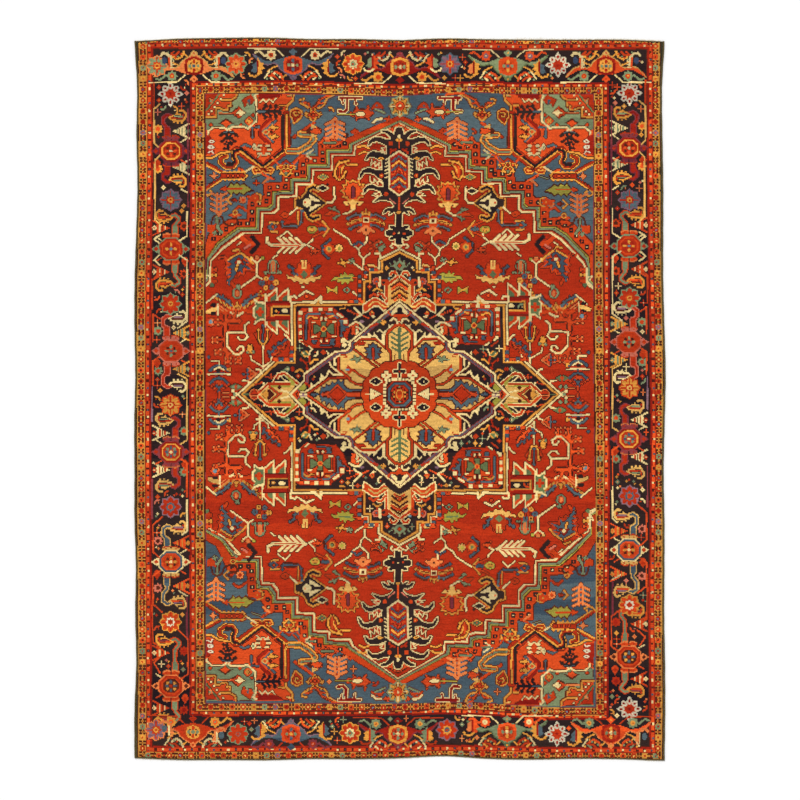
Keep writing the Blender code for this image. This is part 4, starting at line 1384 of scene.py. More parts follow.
# Chevron panel in the star's head under a scroll and a green leaf, its arched wing, and hooks and checks on
# the star's upper edge
STAR_HEAD = """
line:2.8 brick -51.4,97 -40.6,97
gem:0 orange -49,97.4 2.1,1.6 -38.8,97.4 1.8,1.6 -33,129.2 2,1.6 -23.6,129.2 2,1.6
gem:0 slate -44,97.4 2.1,1.6 -28.2,129.2 2,1.6
shape cream -90,95.4 -81,102 -79,104 -78,102 -78,95.4
shape gold -85,94.6 -80.4,99.6 -80,94.6
line:2 cream -109.4,97 -109.4,102.4 -105,103 -103.4,101
line:1.7 gold -60,90.4 -56,90.6 -54.4,93.4
shape sage -0.5,141.6 -3,137.6 -6.6,138.6 -6.6,134.6 -9.6,133 -5.6,130.6 -3.6,128 -0.5,128
line:1.2 sage -10.6,136 -6,132
dots:3.2 rust -0.5,133.4
line:3.4/2.2 cream/rust -9.6,124.2 -8.4,126.6 -5,127 -3.4,124.8 -3,121.8
line:4/2.6 cream/rust -2,122.2 -8,118 -13.6,113.6 -13.7,94
shape straw -0.5,119.6 -6,117 -12,112.8 -12,92.6 -0.5,99
line:2.2 brown -0.5,118 -8.6,112.4
line:2.6 orange -0.5,115 -8,109.8
line:2.2 brown -0.5,111 -8.4,105.6
line:2 gold -0.5,108 -8,103
line:2.4 brown -0.5,105.4 -7.6,100.6
line:2.4 orange -0.5,102 -5.4,98.8
dots:3.4 orange -0.5,113.6 -0.5,103.4
dots:2.6 sky -11,120.4
oval pink -23.8,117.8 3.8,3.6
oval rust -23.4,117.6 2.8,2.8 -15.4,116.8 4.4,3.2
dots:2.2 slate -23.4,117.4
oval navy -16.4,116.4 1.9,1.4
line:2.4 cream -20,121.6 -20.4,113
line:1.5 rust -23.4,114 -22.4,111
line:1.8 gold -26.6,108.4 -22.8,110.8 -18,108.2
line:2.6 rust -30,102.4 -26.6,105 -22,102.6
line:3.6/2.2 cream/rust -21.4,105.4 -18,104.8 -15,100.4
shape cream -37.6,94.6 -27.6,101.6 -22.2,101.6 -13.4,95.8 -12,92 -16,87 -21.6,92.2 -26,92.2 -32,87.4 -37.2,85
shape rust -36.4,93.8 -27.4,100.3 -22.6,100.3 -13.6,94.6 -12,92 -16,88.6 -21.4,93.6 -26.2,93.6 -32.4,88.8
  -36,87
line:1.6 straw -31.4,93 -26.2,97.4 -22.4,97.4 -15.6,92 -11.6,92.6
"""
# Octagon with a green cross in a frame of cream and orange dashes, in the star's corners; from its own middle
CORNER_ROSETTE = """
shape brick -25.7,17 -20.7,21.6 10,21.6 24,10 25,4 29,4 26,-4 24,-10 16,-19 -12,-20 -26,-11
gem:0 orange -18.7,19 2,1.6 -8.2,19.8 2,1.6 1.5,19.6 2,1.6 -23.5,13 1.6,1.2 -23.5,6 1.6,1.2 -23.5,-0.7 1.6,1.2
  -23.5,-7.8 1.6,1.2
gem:0 cream -13.2,19 2.3,1.8 -3.5,19.6 2,1.8 6.5,19.6 2.2,1.8 -23.3,16.3 2.2,1.8 -23.5,9.7 1.6,1.8 -23.5,2.6
  1.6,1.8 -23.5,-4 1.6,1.8 -22.7,-12 1.6,1.8 22,7 2,2.3
line:1.6 cream -22.7,-12 -20,-14.6
line:1.5 cream -15,-17 -11.4,-20
line:2.3 cream 13.5,15.3 18.5,12
line:2.2 slate -17.5,-9.5 -17.5,12.5 -16,14.6 -12,15.4 -4,15.4
line:2 slate 3,15.4 8,15.4 10.5,13.4 14,10.8
shape slate 16,9.5 19.5,9.5 19.5,4 26.5,3 22,0 21,-3 18.5,-3 19.5,-7.5 16,-7.5 | -12,-10.5 -7,-10.5 -7.5,-14.5
  -11,-14.5 | 7,-10 11.5,-10 11,-16 7,-17.5 5,-15
line:1.2 slate -3,-16.4 9,-16.4
shape brown -13.4,-8.2 -13.4,8.8 -11.2,10.4 -5.2,10.4 -3.6,14 0,15.2 3.6,14 5.2,10.4 11.2,10.4 13.4,8.8
  13.4,-8.2 11.2,-9.8 4.6,-10 3.2,-13.4 0,-14.2 -3.2,-13.4 -4.6,-10 -11.2,-9.8
shape rust -12.4,-7.6 -12.4,8.2 -10.6,9.4 -4.6,9.4 -3,13 0,14 3,13 4.6,9.4 10.6,9.4 12.4,8.2 12.4,-7.6
  10.6,-8.8 4,-9 2.6,-12.4 0,-13 -2.6,-12.4 -4,-9 -10.6,-8.8
line:1.6 gold -16.2,10.4 -14.2,12.6 -11.6,12.6 -9,10.8 -7,11
line:1.8 gold 6,12 9.6,13.4
line:1.5 cream -11.8,6.6 -8.8,6.4 | 9,7 12,7.4 | -11.8,-8 -7.8,-7.2 | 9,-7.4 12.8,-7.2
line:2.2 brown 0,14 0,9
line:2 brown 0,-13 0,-9
oval cream -2.4,10.2 1.1,1.9 2.2,10.4 1.1,1.9 -2.4,-11.9 1.1,1.4 2.8,-11.8 1.1,1.4
shape brown -11.2,5.4 -7.3,5.8 -2.7,2.2 -3.8,8.2 3.5,8.2 3,2.2 6.8,6.2 11,6.2 11,-6.2 6.8,-5.6 3,-2.2 3.5,-9
  -3.8,-9 -2.7,-2.2 -8.7,-6 -11.2,-4.8
shape moss -10.3,4.2 -7.5,4.6 -3,1.4 -3,-1.2 -8.8,-4.8 -10.3,-3.8 | 3,1 7,5 10,5 10,-5 7,-4.6 3,-1 | -2,2.6
  -2.6,7 2.4,7 1.8,2.6 | -2,-2.6 -2.6,-7.8 2.4,-7.8 1.8,-2.6
oval gold 0,0 2.8,2.8
oval orange 0,0 2,2
oval madder 0,0 0.9,0.9
"""
# Crossed strokes, an open hand, buds and commas on the black between the star and the diamond
BLACK_GROUND = """
line:2.6 orange -52,88.5 -44,85 -40.5,83.8
line:1.4 orange -39,84.5 -31,80.6
line:2 cream -46,91.4 -43.5,89 -38.5,84.2
line:1.8 cream -45.8,79.6 -43,82 -38.8,84
oval mauve -38,77.6 2.4,1.4
shape orange -50,74 -44,76.6 -41,74.5 -41,67 -44,64 -48.5,64 -49.5,68 | -136,22 -131,22.6 -129,25.6 -127,22.8
  -122,25 -122.6,22.4 -119,21.6 -123,20 -125,21.4 -129,20 -131,21
line:2 cream -51,73.2 -45,76.8 -41,76.4 -36.6,72.6 -36.6,69
line:1.6 cream -43.5,72 -40.5,71 -39,69.4
line:2.4 cream -43.2,69 -42.6,65 -40,66.6 -37.4,69
gem:0.8 orange -28,85.4 2.6,3
shape cream -29.5,84 -26,83.4 -24,82 -27,80.6
dots:2 gold -28,86.6
gem:0.9 moss -95,45 4.4,3.6
line:1.3 gold -98.4,46.6 -95,42.4 -91.6,43 | -94,48 -91.4,45.6
dots:1.6 cream -96.5,45.6
line:1.4 cream -88.6,49.6 -90.4,46 -91.4,41.6
line:1.6 rust -99,58 -92.4,53
gem:1 rust -76.6,46.6 3.4,3
shape cream -73.8,48.8 -70.6,46 -73.6,43.6 -72.6,46
line:3 brick -99,39.6 -94,36 -92.4,30
line:2.2 rust -91,42.6 -90,36.4
line:2 gold -89.4,35.6 -85.6,39.4 -82.6,39.6 | -104,27.4 -100,29.6 -97,27.6
dots:4.4 brick -107.6,30
gem:0.8 sage -112.6,30 2.4,2.8
dots cream -112.6,30
line:2 moss -118.6,27.6 -115.4,29
dots:2.4 cream -136,15.6
dots:2 orange -138.4,16.6
line:1.4 rust -145,14.4 -140,15.6
"""
# Forked arrow edged in red and cream in the star's point, with an orange cross before the diamond's tip
SIDE_ARROW = """
oval salmon -145.8,4.6 4.8,5.6
oval brick -145.8,4.6 3.9,4.7
line salmon -149,6 -142,6
line:4.2/2.4 cream/rust -126.5,15.6 -121.6,24.4 -115.6,25.6 -101.4,14.4
shape navy -126.6,19.6 -123.4,20.6 -121.6,16.8 -124.6,16.2 | -119.4,22.8 -117,20 -111.2,16.2 -116.6,16.8
line:1.1 cream -119.6,23 -116.6,19.6 -110.2,16
line:4.2/2.4 cream/rust -141,6.8 -131.8,15 -108,15
shape leaf -115,23.4 -112.8,23.6 -105.4,17 -104.6,13.4 -109,13.8 -109,17
shape straw -139.6,4.2 -139.2,6.6 -131,13.6 -105,13.6 -109,6.6 -109,4.2
line:1.8 leaf -130,12.6 -110,12.6
shape gold -139,4.2 -134.4,9.6 -131,8 -127.4,4.2
shape brown -133.4,9.8 -130.4,10.2 -126.8,6 -124,4.2 -131,4.2
line:2.8 orange -130.4,12 -119.4,3.6
gem:0.8 brown -120.6,11.4 2.2,2
line:1.8 cream -118.6,8.6 -109.8,6.4
line:1.6 moss -156,4.6 -151,4.6
"""
# In the diamond: its tip, and the scalloped blue gem with an orange edge round a red one
SIDE_GEM = """
shape rust -108.4,4.2 -103.4,9.4 -100.4,7 -101.4,4.2
line:1.6 brown -103.6,4.2 -102.4,6.8
shape leaf -102.4,9.6 -95.8,15.8 -93.4,11.4 -97,7.6
line:2.6 brick -94.4,15.6 -90.2,12.8
line:1.6 cream -88.6,15.4 -89,11.4
gem:0.7 navy -85.4,4.6 4.4,2.6
gem:0.7 slate -85.4,4.6 3.4,1.6
shape brown -81,4.2 -80,9.4 -78.4,13.6 -75.6,11.6 -73.6,16.4 -70.6,13.6 -68.2,18.2 -65.4,16 -61.6,20.6
  -59,17.8 -55,20 -55.4,15 -52.4,11.4 -48,10.2 -38,10.2 -38,4.2
shape slate -80,4.2 -79.2,9 -78,12.4 -75.8,10 -73.4,15 -70.6,12.2 -68,17 -65.4,14.6 -61.6,19.4 -59,16.4 -56,19
  -56.4,14 -53,10.2 -48,9 -38,9
shape orange -79,4.2 -77.6,6.6 -70,7.6 -62.6,14.4 -54,6.8 -38,6.4 -38,4.2
shape brown -72,4.2 -70.4,6 -62.6,12.6 -55,5.6 -54,4.2
shape brick -71,4.2 -69,6 -62.6,11.4 -56.4,5.6 -55,4.2
oval cream -96.6,4.6 4.2,3.4
line:1 mauve -100,6.4 -93.4,6.4
line:1 brown -100,3.4 -93.4,3.4
dots:1.8 mauve -96.6,4.6
"""
# The medallion's gold ground with its toothed cream and red edge, trees and leaves between red rays
GOLD_HEART = """
shape honey -93,4.2 -93,5.4 -70,20.5 -56,21 -61,28 -61.5,42 -57,45 -50,46 -46,50 -43,56 -38.5,60 -24.5,60
  -13,50 -8.5,46 -8.5,34 1,34 1,4.2
line:2.8 brown -94,6.2 -80.5,15.8 -73.2,21.4 -71.6,26.6 -67.2,23.2 -57.5,22.6 -63.2,27 -69.2,31.6 -70.6,35.6
line:3.4/1.8 brown/rust -92,5.6 -70.6,20.8 -53,21.2 -48.5,17.8 -44,15 -37,14.2 | -45,54.4 -38.5,60.2
  -24.5,60.2 -12.5,50 -9.2,46.4 -8.8,36
line:3.6/2.2 brown/rust -61.6,41 -61.6,29.4 -55,24.2 -50,20.4
line:1.6 cream -94,7.6 -80.5,17 -73.2,22.8 -71.4,28.2 -67.2,24.6 -57.5,24 -63.2,28.2 -69.2,32.8 -70.4,36.6 |
  -45,57.4 -38.8,62.2 -24,62.4 -15.8,54.6
shape cream -79,25 -74.4,21.4 -80.8,17 | -66.8,40.4 -64.2,42 -64,33.4 -66,32.6 | -33,62.6 -31.4,67 -27.6,62.4
  | -27,62.6 -26.2,67 -21.2,60.6
line:1.4 cream -65.6,40.6 -59.6,44.6
shape rust -60.6,45.6 -54,45 -52.4,41.4 -57,41.8
line:1.2 honey -59.4,43 -55,43
line:3/1.5 brown/rust -46,49.8 -38.5,44.3 -28.5,35.7 -20.5,30
line:2.6/1.3 brown/rust -25.5,38 -16.8,31.8
line:3/1.6 brown/rust -46,28.7 -40.5,24.2 -34,21
shape rust -52.6,35 -49,31.5 -45.5,28.5 -48,27.5 -51.5,24 -53.6,29
oval sky -52.2,29.2 2.2,1.3
shape brick -42.6,53.4 -35.6,53.6 -33.6,57 -37.5,58 -41,56.6
shape sage -51.4,39.6 -47,41.4 -46,44.6 -43,42 -38.4,43.6 -38.4,41 -40,39 -38,36.2 -41.4,37.6 -43,35 -45,38
  -49,38.2
line:1 brown -40,40 -35,40
place at -26.9,47
+shape brown 0,10.5 3,7.5 5,8.4 5.4,5 10,5.6 7.4,1.6 9.8,-0.6 6.4,-2 8.6,-5.4 3.6,-8 0,-8
+shape slate 0,9 2.4,6.4 4,7 4.4,4 8,4.2 5.4,1.4 7.8,-0.6 4.4,-1.4 6.6,-5 3,-7 0,-7
line:2 brick 0,3 0,-7.6
"""
# Tall red-edged panel with a green tree over the gold ground, and the buds in the diamond's top
GREEN_TREE = """
shape cream 1,78.8 -9.6,73.6 -12,75.6 -11.6,70.8 -17.8,66.6 -17.8,57.4 -14.6,53 1,53
line:1.6 cream -22.6,67.4 -20,69.2 -17.2,66.4
shape brown 1,77.4 -5,75.6 -12.2,69.4 -14.8,66 -14.8,50.6 1,50.6
shape rust 1,76.4 -5,74.8 -11.6,69 -14,65.6 -14,51 -9.8,46.8 -9.8,35 1,35
shape brown 1,73.6 -5,71.8 -10.2,67 -12,64.4 -12,51.4 -8.6,47.6 -8.6,35 1,35
shape honey 1,72.8 -5,71 -9.6,66.6 -11.2,64 -11.2,52 -8,48 -8,35 1,35
line:2 moss -1,62.6 -8.6,67 | -1,57.6 -8.6,62 | -1,52.4 -8.6,56.8 | -1,47.6 -8,51.6
line:3.2 moss -0.5,70.6 -0.5,40
line:1 brown -4.8,45 -4.8,37
line:3.2/1.9 brown/cream -9.6,78.2 -7,80.6 -3.6,79.4 -2.6,76
shape rust -13,86.4 -11.4,88.6 -9.4,84.4 -4,84.6 1,86.6 1,77 -2,79.6 -3.6,82 -9,82.4
shape cream -9,86 -6.6,89.4 -3,93.4 1,95 1,90 -3,87.4 -8,83.6
gem navy -0.5,88 2.6,3.6
gem:0.9 gold -16.8,76.6 3.2,2.8
gem:0.8 moss -20.8,77.4 1.8,2
line:2 brick -29.6,72.2 -23,75.2
"""
# The medallion's centre: a scalloped red rosette with black and cream flowers round a ring of beads
ROSETTE = """
=line:4.4/2.6 cream/navy 0,30.5 0,16.5
=line:5.4/3.6 cream/navy -4.6,23 4.6,23
=line:2.6 navy 0,30.5 0,16.5
=dots:2 brick 0,23
#gem:0.3 brown 13.4,19 5.6,2.6 13.4,19 2.6,5.6
#gem:0.3 cream 13.4,19 5,2 13.4,19 2,5
#dots:2.2 brick 13.4,19
#gem:0.8 cream 23.6,13 6.4,4.4
#gem:0.8 navy 23.6,13 5.2,3.4
#dots cream 24.6,13
+shape brown 16.4,0.4 30.4,7.8 30.4,-7
+shape cream 18,0.4 29.4,6.4 29.4,-5.6
+line:1.6 cream 28,0.4 34,0.4
+dots:1.8 rust 25,0.4
gem:0.45 brown 0,0 16.6,16.6
"""
ROSETTE_HEART = """
gem brick 0,0 12.8,13.4
gem brown 0,0 12,12.6
gem slate 0,0 11.4,12
gem brown 0,0 8.8,9.8
gem brick 0,0 8.2,9.2
#dots:2.4 gold 5.2,2.2
#dots:2 brown 5.2,5 2.4,7
=dots:2 sage 0,7.4
gem gold 0,0 3.2,5.2
gem rust 0,0 2.2,4.2
"""
BEAD_RING = spelled("""
    15,8.6 12.6,12.8 8.6,15 -8.6,15 -12.6,12.8 -15,8.6
    -15,-8.6 -12.6,-12.8 -8.6,-15 8.6,-15 12.6,-12.8 15,-8.6 15,8.6
""")
BEADS = 30
# Half width and height of the diamond's line, from the medallion's middle to its top
DIAMOND = spelled("109,0 95.4,13.9 95.4,20.2 63.9,43 55.9,43.3 52,44.6 49.6,48 49.6,52.6 0,92.8")
MIDDLE = (-0.5, 4.6)
# Middles of the corner rosettes: upper left and right, lower left and right
ROSETTES = spelled("-76.3,70 74.2,73.5 -79.8,-64.5 77.2,-67.5")
middle = Pen(*MIDDLE)
quarters = [middle.at(flip=flip) for _, flip in COPIES["#"]]
# From each quarter's pen back to the middle of the rug, where the texts count from
from_rug = [quarter.at(0.5, -4.6) for quarter in quarters]
star_half(middle, 0)
star_half(middle.at(flip=(1, -1)), 1)
for quarter, pen, rosette, (_, flip) in zip(quarters, from_rug, ROSETTES, COPIES["#"]):
    below = flip[1] < 0
    quarter.at(0.5, -5.6 if below else -4.6).draw(STAR_NOTCH)
    quarter.at(0.5, 1.4 if below else -4.6).draw(STAR_HEAD)
    Pen(*rosette, flip=flip).draw(CORNER_ROSETTE)
    pen.draw(BLACK_GROUND)
    pen.draw(SIDE_ARROW)
# The mulberry line runs just inside the diamond's cream one.
at_tip = DIAMOND[:, :1] == 0
inner = DIAMOND - np.where(at_tip, (0, 3.6), (2.8, 1.8))
ground = DIAMOND - np.where(at_tip, (1.5, 2), (1.5, 1))
middle.stroke("shape", "navy", [(0, 0), *ground], copies="#")
for dye, width, line in (("brown", 3.2, DIAMOND), ("mulberry", 3.0, inner), ("slate", 1.2, inner),
                         ("cream", 1.9, DIAMOND)):
    middle.stroke("line", dye, line, width, "#")
middle.draw("#oval cream 56.3,53.9 2.8,2.6 55.3,49.3 2.4,2.2 #line:1.9 cream 56,54 50,52.4 50.4,49.4")
for pen in from_rug:
    for motif in (GOLD_HEART, SIDE_GEM, GREEN_TREE):
        pen.draw(motif)

# The rosette, an oval with sixteen scallops
ROSETTE_WIDTH, ROSETTE_HEIGHT = 36.5, 33.0
SCALLOPS, SCALLOP_DEPTH = 16, 0.06
across, along = (knot_x - MIDDLE[0]) / ROSETTE_WIDTH, (knot_y - MIDDLE[1]) / ROSETTE_HEIGHT
wave = np.abs(np.cos(SCALLOPS / 2 * np.arctan2(across, along)))
scallop = np.hypot(across, along) - SCALLOP_DEPTH * wave
paint(scallop < 1.02, "brown")
paint(scallop < 0.99, "rust")
middle.draw(ROSETTE)
for bead in evenly(BEAD_RING, BEADS + 1)[:-1]:
    middle.stroke("gem", "cream", [bead, (1.35, 1.25)], 0)
middle.draw(ROSETTE_HEART)

fill_gaps(field > 3, "slate", 5, "rust gold salmon brick orange")
fill_gaps(field > 3, "navy", 3, "rust gold cream sage orange")
chart[field <= 0] = quiet_border[field <= 0]

# Every figure of the field has a thin brown outline: the knots of a ground that touch another dye, where at
# least half of the 25 knots round them are of that ground, so that it keeps its colour.
padded = np.pad(chart, 2, mode="edge")
around = [padded[down : knots_along + down, along : knots_across + along]
          for down in range(5) for along in range(5)]
here = around[12]
beside = [around[place] for place in (7, 11, 13, 17)]
for ground in ("brick", "slate", "gold", "orange", "sage"):
    number = DYE_NUMBER[ground]
    wide = sum((other == number).astype(int) for other in around) >= 13
    meets = np.any([(other != number) & (other != DYE_NUMBER["brown"]) for other in beside], axis=0)
    paint((here == number) & wide & meets & (field > 1.5), "brown")

# Height of the pile: the knots wear down a little unevenly, and most where iron-dyed browns and blacks rot.
WEAR = {"brown": 0.0010, "navy": 0.0006, "madder": 0.0003}
UNEVEN = 0.0004
EDGE_DROP = 0.0022  # how far the pile's rim leans down to its binding
RIM_KNOTS = 1.5  # how wide that rim is
wear = np.zeros(len(DYES))
for dye, depth in WEAR.items():
    wear[DYE_NUMBER[dye]] = depth
tufts = np.pad(wear[chart] + rng.uniform(0, UNEVEN, chart.shape), 1, mode="edge")
sunk = (tufts[1:, 1:] + tufts[:-1, 1:] + tufts[1:, :-1] + tufts[:-1, :-1]) / 4
rim = np.minimum.outer(*(np.minimum(np.arange(n), np.arange(n)[::-1]) for n in lattice.shape[:2]))
height = PILE_TOP - sunk - EDGE_DROP * np.clip(1 - rim / RIM_KNOTS, 0, 1)
pile_points = np.concatenate([lattice, height[..., None]], -1)

# Colour of the wool: every knot takes the dye a little differently, neighbours in a row more alike, and each
# dye comes in lots that change every few rows, so the ground is barred with lighter and deeper bands.
STREAK_LENGTH = 7  # knots
KNOT_SHADE, STREAK_SHADE = 0.13, 0.11
LOT_ROWS = (5, 46)  # a lot lasts from 5 to 45 rows


def smoothed(values, reach):
    """A running mean along each row, which goes on from the row's end at its start."""
    total = np.cumsum(np.concatenate([values, values], 1), 1)
    columns = np.arange(values.shape[1])
    return (total[:, columns + reach] - total[:, columns]) / reach


streaks = smoothed(rng.normal(0, 1, chart.shape), STREAK_LENGTH) * math.sqrt(STREAK_LENGTH)
shade = 0.5 + KNOT_SHADE * rng.normal(0, 1, chart.shape) + STREAK_SHADE * streaks
lots = np.zeros((len(DYES), knots_along))
for number in range(len(DYES)):
    changes = np.cumsum(rng.integers(*LOT_ROWS, knots_along // LOT_ROWS[0]))
    level = rng.uniform(0, 1, len(changes) + 1)
    lots[number] = level[np.searchsorted(changes, np.arange(knots_along), side="right")]
# The red ground is paler towards the bottom end. A lot's border wanders by up to three rows.
lots[DYE_NUMBER["brick"]] = 0.65 * lots[DYE_NUMBER["brick"]] + np.linspace(0.35, 0.0, knots_along)
columns = np.arange(knots_across)
drift = np.round(1.6 * np.sin(columns / 31) + 1.2 * np.sin(columns / 13)).astype(int)
knot_row = np.clip(np.arange(knots_along)[:, None] + drift, 0, knots_along - 1)
lot = lots[chart, knot_row]

BANDS = 4
cuts = np.linspace(0, knots_along, BANDS + 1).astype(int)
pile = [
    slab(f"pile_{number + 1}", pile_points[low : high + 1], FOUNDATION, 1, dye=chart[low:high],
         shade=shade[low:high], lot=lot[low:high])
    for number, (low, high) in enumerate(zip(cuts, cuts[1:]))
]

back_step = round(BACK_PITCH / KNOT)
rows, columns = knots_along // back_step, knots_across // back_step
backs = [grid[back_step // 2 :: back_step, back_step // 2 :: back_step][:rows, :columns]
         for grid in (chart, shade, lot)]
back_points = between_edges(body_edges, rows + 1, columns + 1)
back_points = np.concatenate([back_points, np.zeros(back_points.shape[:2] + (1,))], -1)
foundation = slab("foundation", back_points, FOUNDATION - BACK_GAP, -1, dye=backs[0], shade=backs[1],
                  lot=backs[2])


class Sum:
    """A shader value. Python's operators on it add Math nodes."""

    def __init__(self, nodes, socket):
        self.nodes, self.socket = nodes, socket

    def math(self, operation, *values):
        """A Math node on these values."""
        return self.nodes.add("ShaderNodeMath", dict(operation=operation), values)

    def __add__(self, other):
        return self.math("ADD", self, other)

    def __mul__(self, other):
        return self.math("MULTIPLY", self, other)


class Finish:
    """A material being put together: one shader, and nodes added by type, settings and inputs."""

    def __init__(self, name, **constants):
        self.material = bpy.data.materials.new(name)
        self.material.use_nodes = True
        self.tree = self.material.node_tree
        self.shader = self.tree.nodes["Principled BSDF"]
        for socket, value in constants.items():
            self.shader.inputs[socket.replace("_", " ")].default_value = value

    def add(self, kind, settings, inputs, output=0):
        """A node with its settings and inputs; inputs are a list in order or a dict by name."""
        node = self.tree.nodes.new(kind)
        stops = settings.pop("stops", None)
        for setting, value in settings.items():
            setattr(node, setting, value)
        if stops:
            ramp = node.color_ramp
            ramp.interpolation = "CONSTANT"
            for number, (place, colour) in enumerate(stops):
                stop = ramp.elements[number] if number < 2 else ramp.elements.new(place)
                stop.position, stop.color = place, colour
        for socket, value in inputs.items() if isinstance(inputs, dict) else enumerate(inputs):
            if isinstance(value, Sum):
                self.tree.links.new(value.socket, node.inputs[socket])
            elif value is not None:
                node.inputs[socket].default_value = value
        return Sum(self, node.outputs[output])

    def feed(self, **links):
        """Links values into the shader's own sockets."""
        for socket, value in links.items():
            self.tree.links.new(value.socket, self.shader.inputs[socket.replace("_", " ")])


def linear(colour):
    """A colour of 255 as the shader's linear values, by the sRGB curve."""
    share = np.array(colour) / 255
    return tuple(np.where(share <= 0.04045, share / 12.92, ((share + 0.055) / 1.055) ** 2.4)) + (1.0,)


# Wool: the dye's deep or pale lot, made lighter and darker by the knot's own shade and by its fuzz
wool = Finish("pile_wool", Roughness=0.95, Specular_IOR_Level=0.1)
dye_number = wool.add("ShaderNodeAttribute", dict(attribute_name="dye"), {}, 2)
deep, pale = (
    wool.add("ShaderNodeValToRGB",
             dict(stops=[(number / len(DYES), linear(share * np.array(colour) + np.array(lift)))
                         for number, colour in enumerate(DYES.values())]),
             [(dye_number + 0.5) * (1 / len(DYES))])
    for share, lift in ((0.80, (0, 0, 4)), (0.96, (14, 12, 6)))
)
lot_mark = wool.add("ShaderNodeAttribute", dict(attribute_name="lot"), {}, 2)
shade_mark = wool.add("ShaderNodeAttribute", dict(attribute_name="shade"), {}, 2)
place = wool.add("ShaderNodeTexCoord", {}, {}, 3)
fuzz = wool.add("ShaderNodeTexNoise", {}, dict(Vector=place, Scale=420.0, Detail=3.0, Roughness=0.7))
dyed = wool.add("ShaderNodeMix", dict(data_type="RGBA"), {0: lot_mark, 6: deep, 7: pale}, 2)
light = (shade_mark * 0.62 + 0.62) * (fuzz * 0.5 + 0.75)
wool.feed(
    Base_Color=wool.add("ShaderNodeVectorMath", dict(operation="SCALE"), {0: dyed, 3: light}),
    Normal=wool.add("ShaderNodeBump", {}, dict(Strength=0.5, Distance=0.001, Height=fuzz)),
)
for piece in [*pile, foundation]:
    piece.data.materials.append(wool.material)
    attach(piece, "root")
    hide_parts("rug_body")


# ---------------------------------------------------------------------------------------------------------
# Selvedges. Each long side is bound after weaving: a thick olive-brown wool is wrapped tightly round the two
# outermost cords of warp, so it shows as a firm edge of close, slightly slanting turns.
SELVEDGE_WIDTH = 0.0098
SELVEDGE_HEIGHT = 0.0094
SELVEDGE_WRAP = 0.005  # from one turn of wool to the next
WRAP_SLANT = 0.0012
CORD_SIDES = 8
BETWEEN_TURNS = 0.84  # how thick the cord is between two turns of wool, as a share of a turn's thickness
TURN_UNEVEN = 0.03


def tubes(name, rings):
    """Closed tubes in one mesh: rings has tubes, rings, sides and x, y, z as its four axes. Walls join each
    ring to the next, a face closes either end, and all faces are turned outwards."""
    count, length, sides = rings.shape[:3]
    at = np.arange(count * length * sides).reshape(count, length, sides)
    turned = np.roll(at, -1, 2)
    walls = np.stack([at[:, :-1], turned[:, :-1], turned[:, 1:], at[:, 1:]], -1).reshape(-1, 4)
    ends = np.concatenate([at[:, 0, ::-1], at[:, -1]])
    first, second, third = rings[0, 0, 0], rings[0, 0, 1], rings[0, 1, 0]
    if np.cross(second - first, third - first) @ (first - rings[0, 0].mean(0)) < 0:
        walls, ends = walls[:, ::-1], ends[:, ::-1]
    starts = np.concatenate([np.arange(0, walls.size, 4), walls.size + np.arange(0, ends.size, sides)])
    return put_in(name, rings.reshape(-1, 3), np.concatenate([walls.ravel(), ends.ravel()]), starts)


def wrapped_cord(node, way, width, height, wrap):
    """A cord wrapped in wool, along the middle of a CAD cord that runs in x (way 0) or y (way 1): two rings
    to each turn of the wool, one on its back and a thinner one between it and the next."""
    low = footprint(node)
    line = low[np.argsort(low[:, way])].reshape(-1, 2, 2).mean(1)
    count = 2 * round(np.linalg.norm(np.diff(line, axis=0), axis=1).sum() / wrap) + 1
    middle = evenly(line, count)
    along = np.gradient(middle, axis=0)
    along /= np.linalg.norm(along, axis=1)[:, None]
    sideways = np.stack([-along[:, 1:], along[:, :1]], -1)
    swell = np.where(np.arange(count) % 2, 1.0, BETWEEN_TURNS)[:, None]
    swell = swell + rng.uniform(-TURN_UNEVEN, 0.0, (count, 1))
    angle = np.linspace(0, 2 * math.pi, CORD_SIDES, endpoint=False)
    out = np.cos(angle) * swell * width / 2
    slant = np.sin(angle) * WRAP_SLANT
    flat = middle[:, None] + sideways * out[..., None] + along[:, None] * slant[None, :, None]
    up = height / 2 * (1 + np.sin(angle) * swell)
    return tubes(f"{node}_wool", np.concatenate([flat, up[..., None]], -1)[None])


overcast = Finish("overcast_wool", Roughness=0.9, Specular_IOR_Level=0.15)
place = overcast.add("ShaderNodeTexCoord", {}, {}, 3)
mottle = overcast.add("ShaderNodeTexNoise", {}, dict(Vector=place, Scale=60.0, Detail=4.0, Roughness=0.6))
overcast.feed(Base_Color=overcast.add("ShaderNodeMix", dict(data_type="RGBA"),
                                      {0: mottle, 6: linear((52, 44, 26)), 7: linear((112, 96, 56))}, 2))
fibres = overcast.add("ShaderNodeTexNoise", {}, dict(Vector=place, Scale=900.0, Detail=2.0))
overcast.feed(Normal=overcast.add("ShaderNodeBump", {}, dict(Strength=0.4, Distance=0.0004, Height=fibres)))

cords = []
for node in ("selvedge_left", "selvedge_right"):
    cord = wrapped_cord(node, 1, SELVEDGE_WIDTH, SELVEDGE_HEIGHT, SELVEDGE_WRAP)
    cord.data.materials.append(overcast.material)
    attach(cord, "root")
    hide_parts(node)
    cords.append(cord)


# ---------------------------------------------------------------------------------------------------------
# End cords. The first and last wefts are locked by a thinner twist of the same wool, sewn over the edge of
# the knots along both ends.
END_CORD_WIDTH = 0.0058
END_CORD_HEIGHT = 0.0079
END_CORD_WRAP = 0.0046
for node in ("end_cord_top", "end_cord_bottom"):
    cord = wrapped_cord(node, 0, END_CORD_WIDTH, END_CORD_HEIGHT, END_CORD_WRAP)
    cord.data.materials.append(overcast.material)
    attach(cord, "root")
    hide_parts(node)
    cords.append(cord)


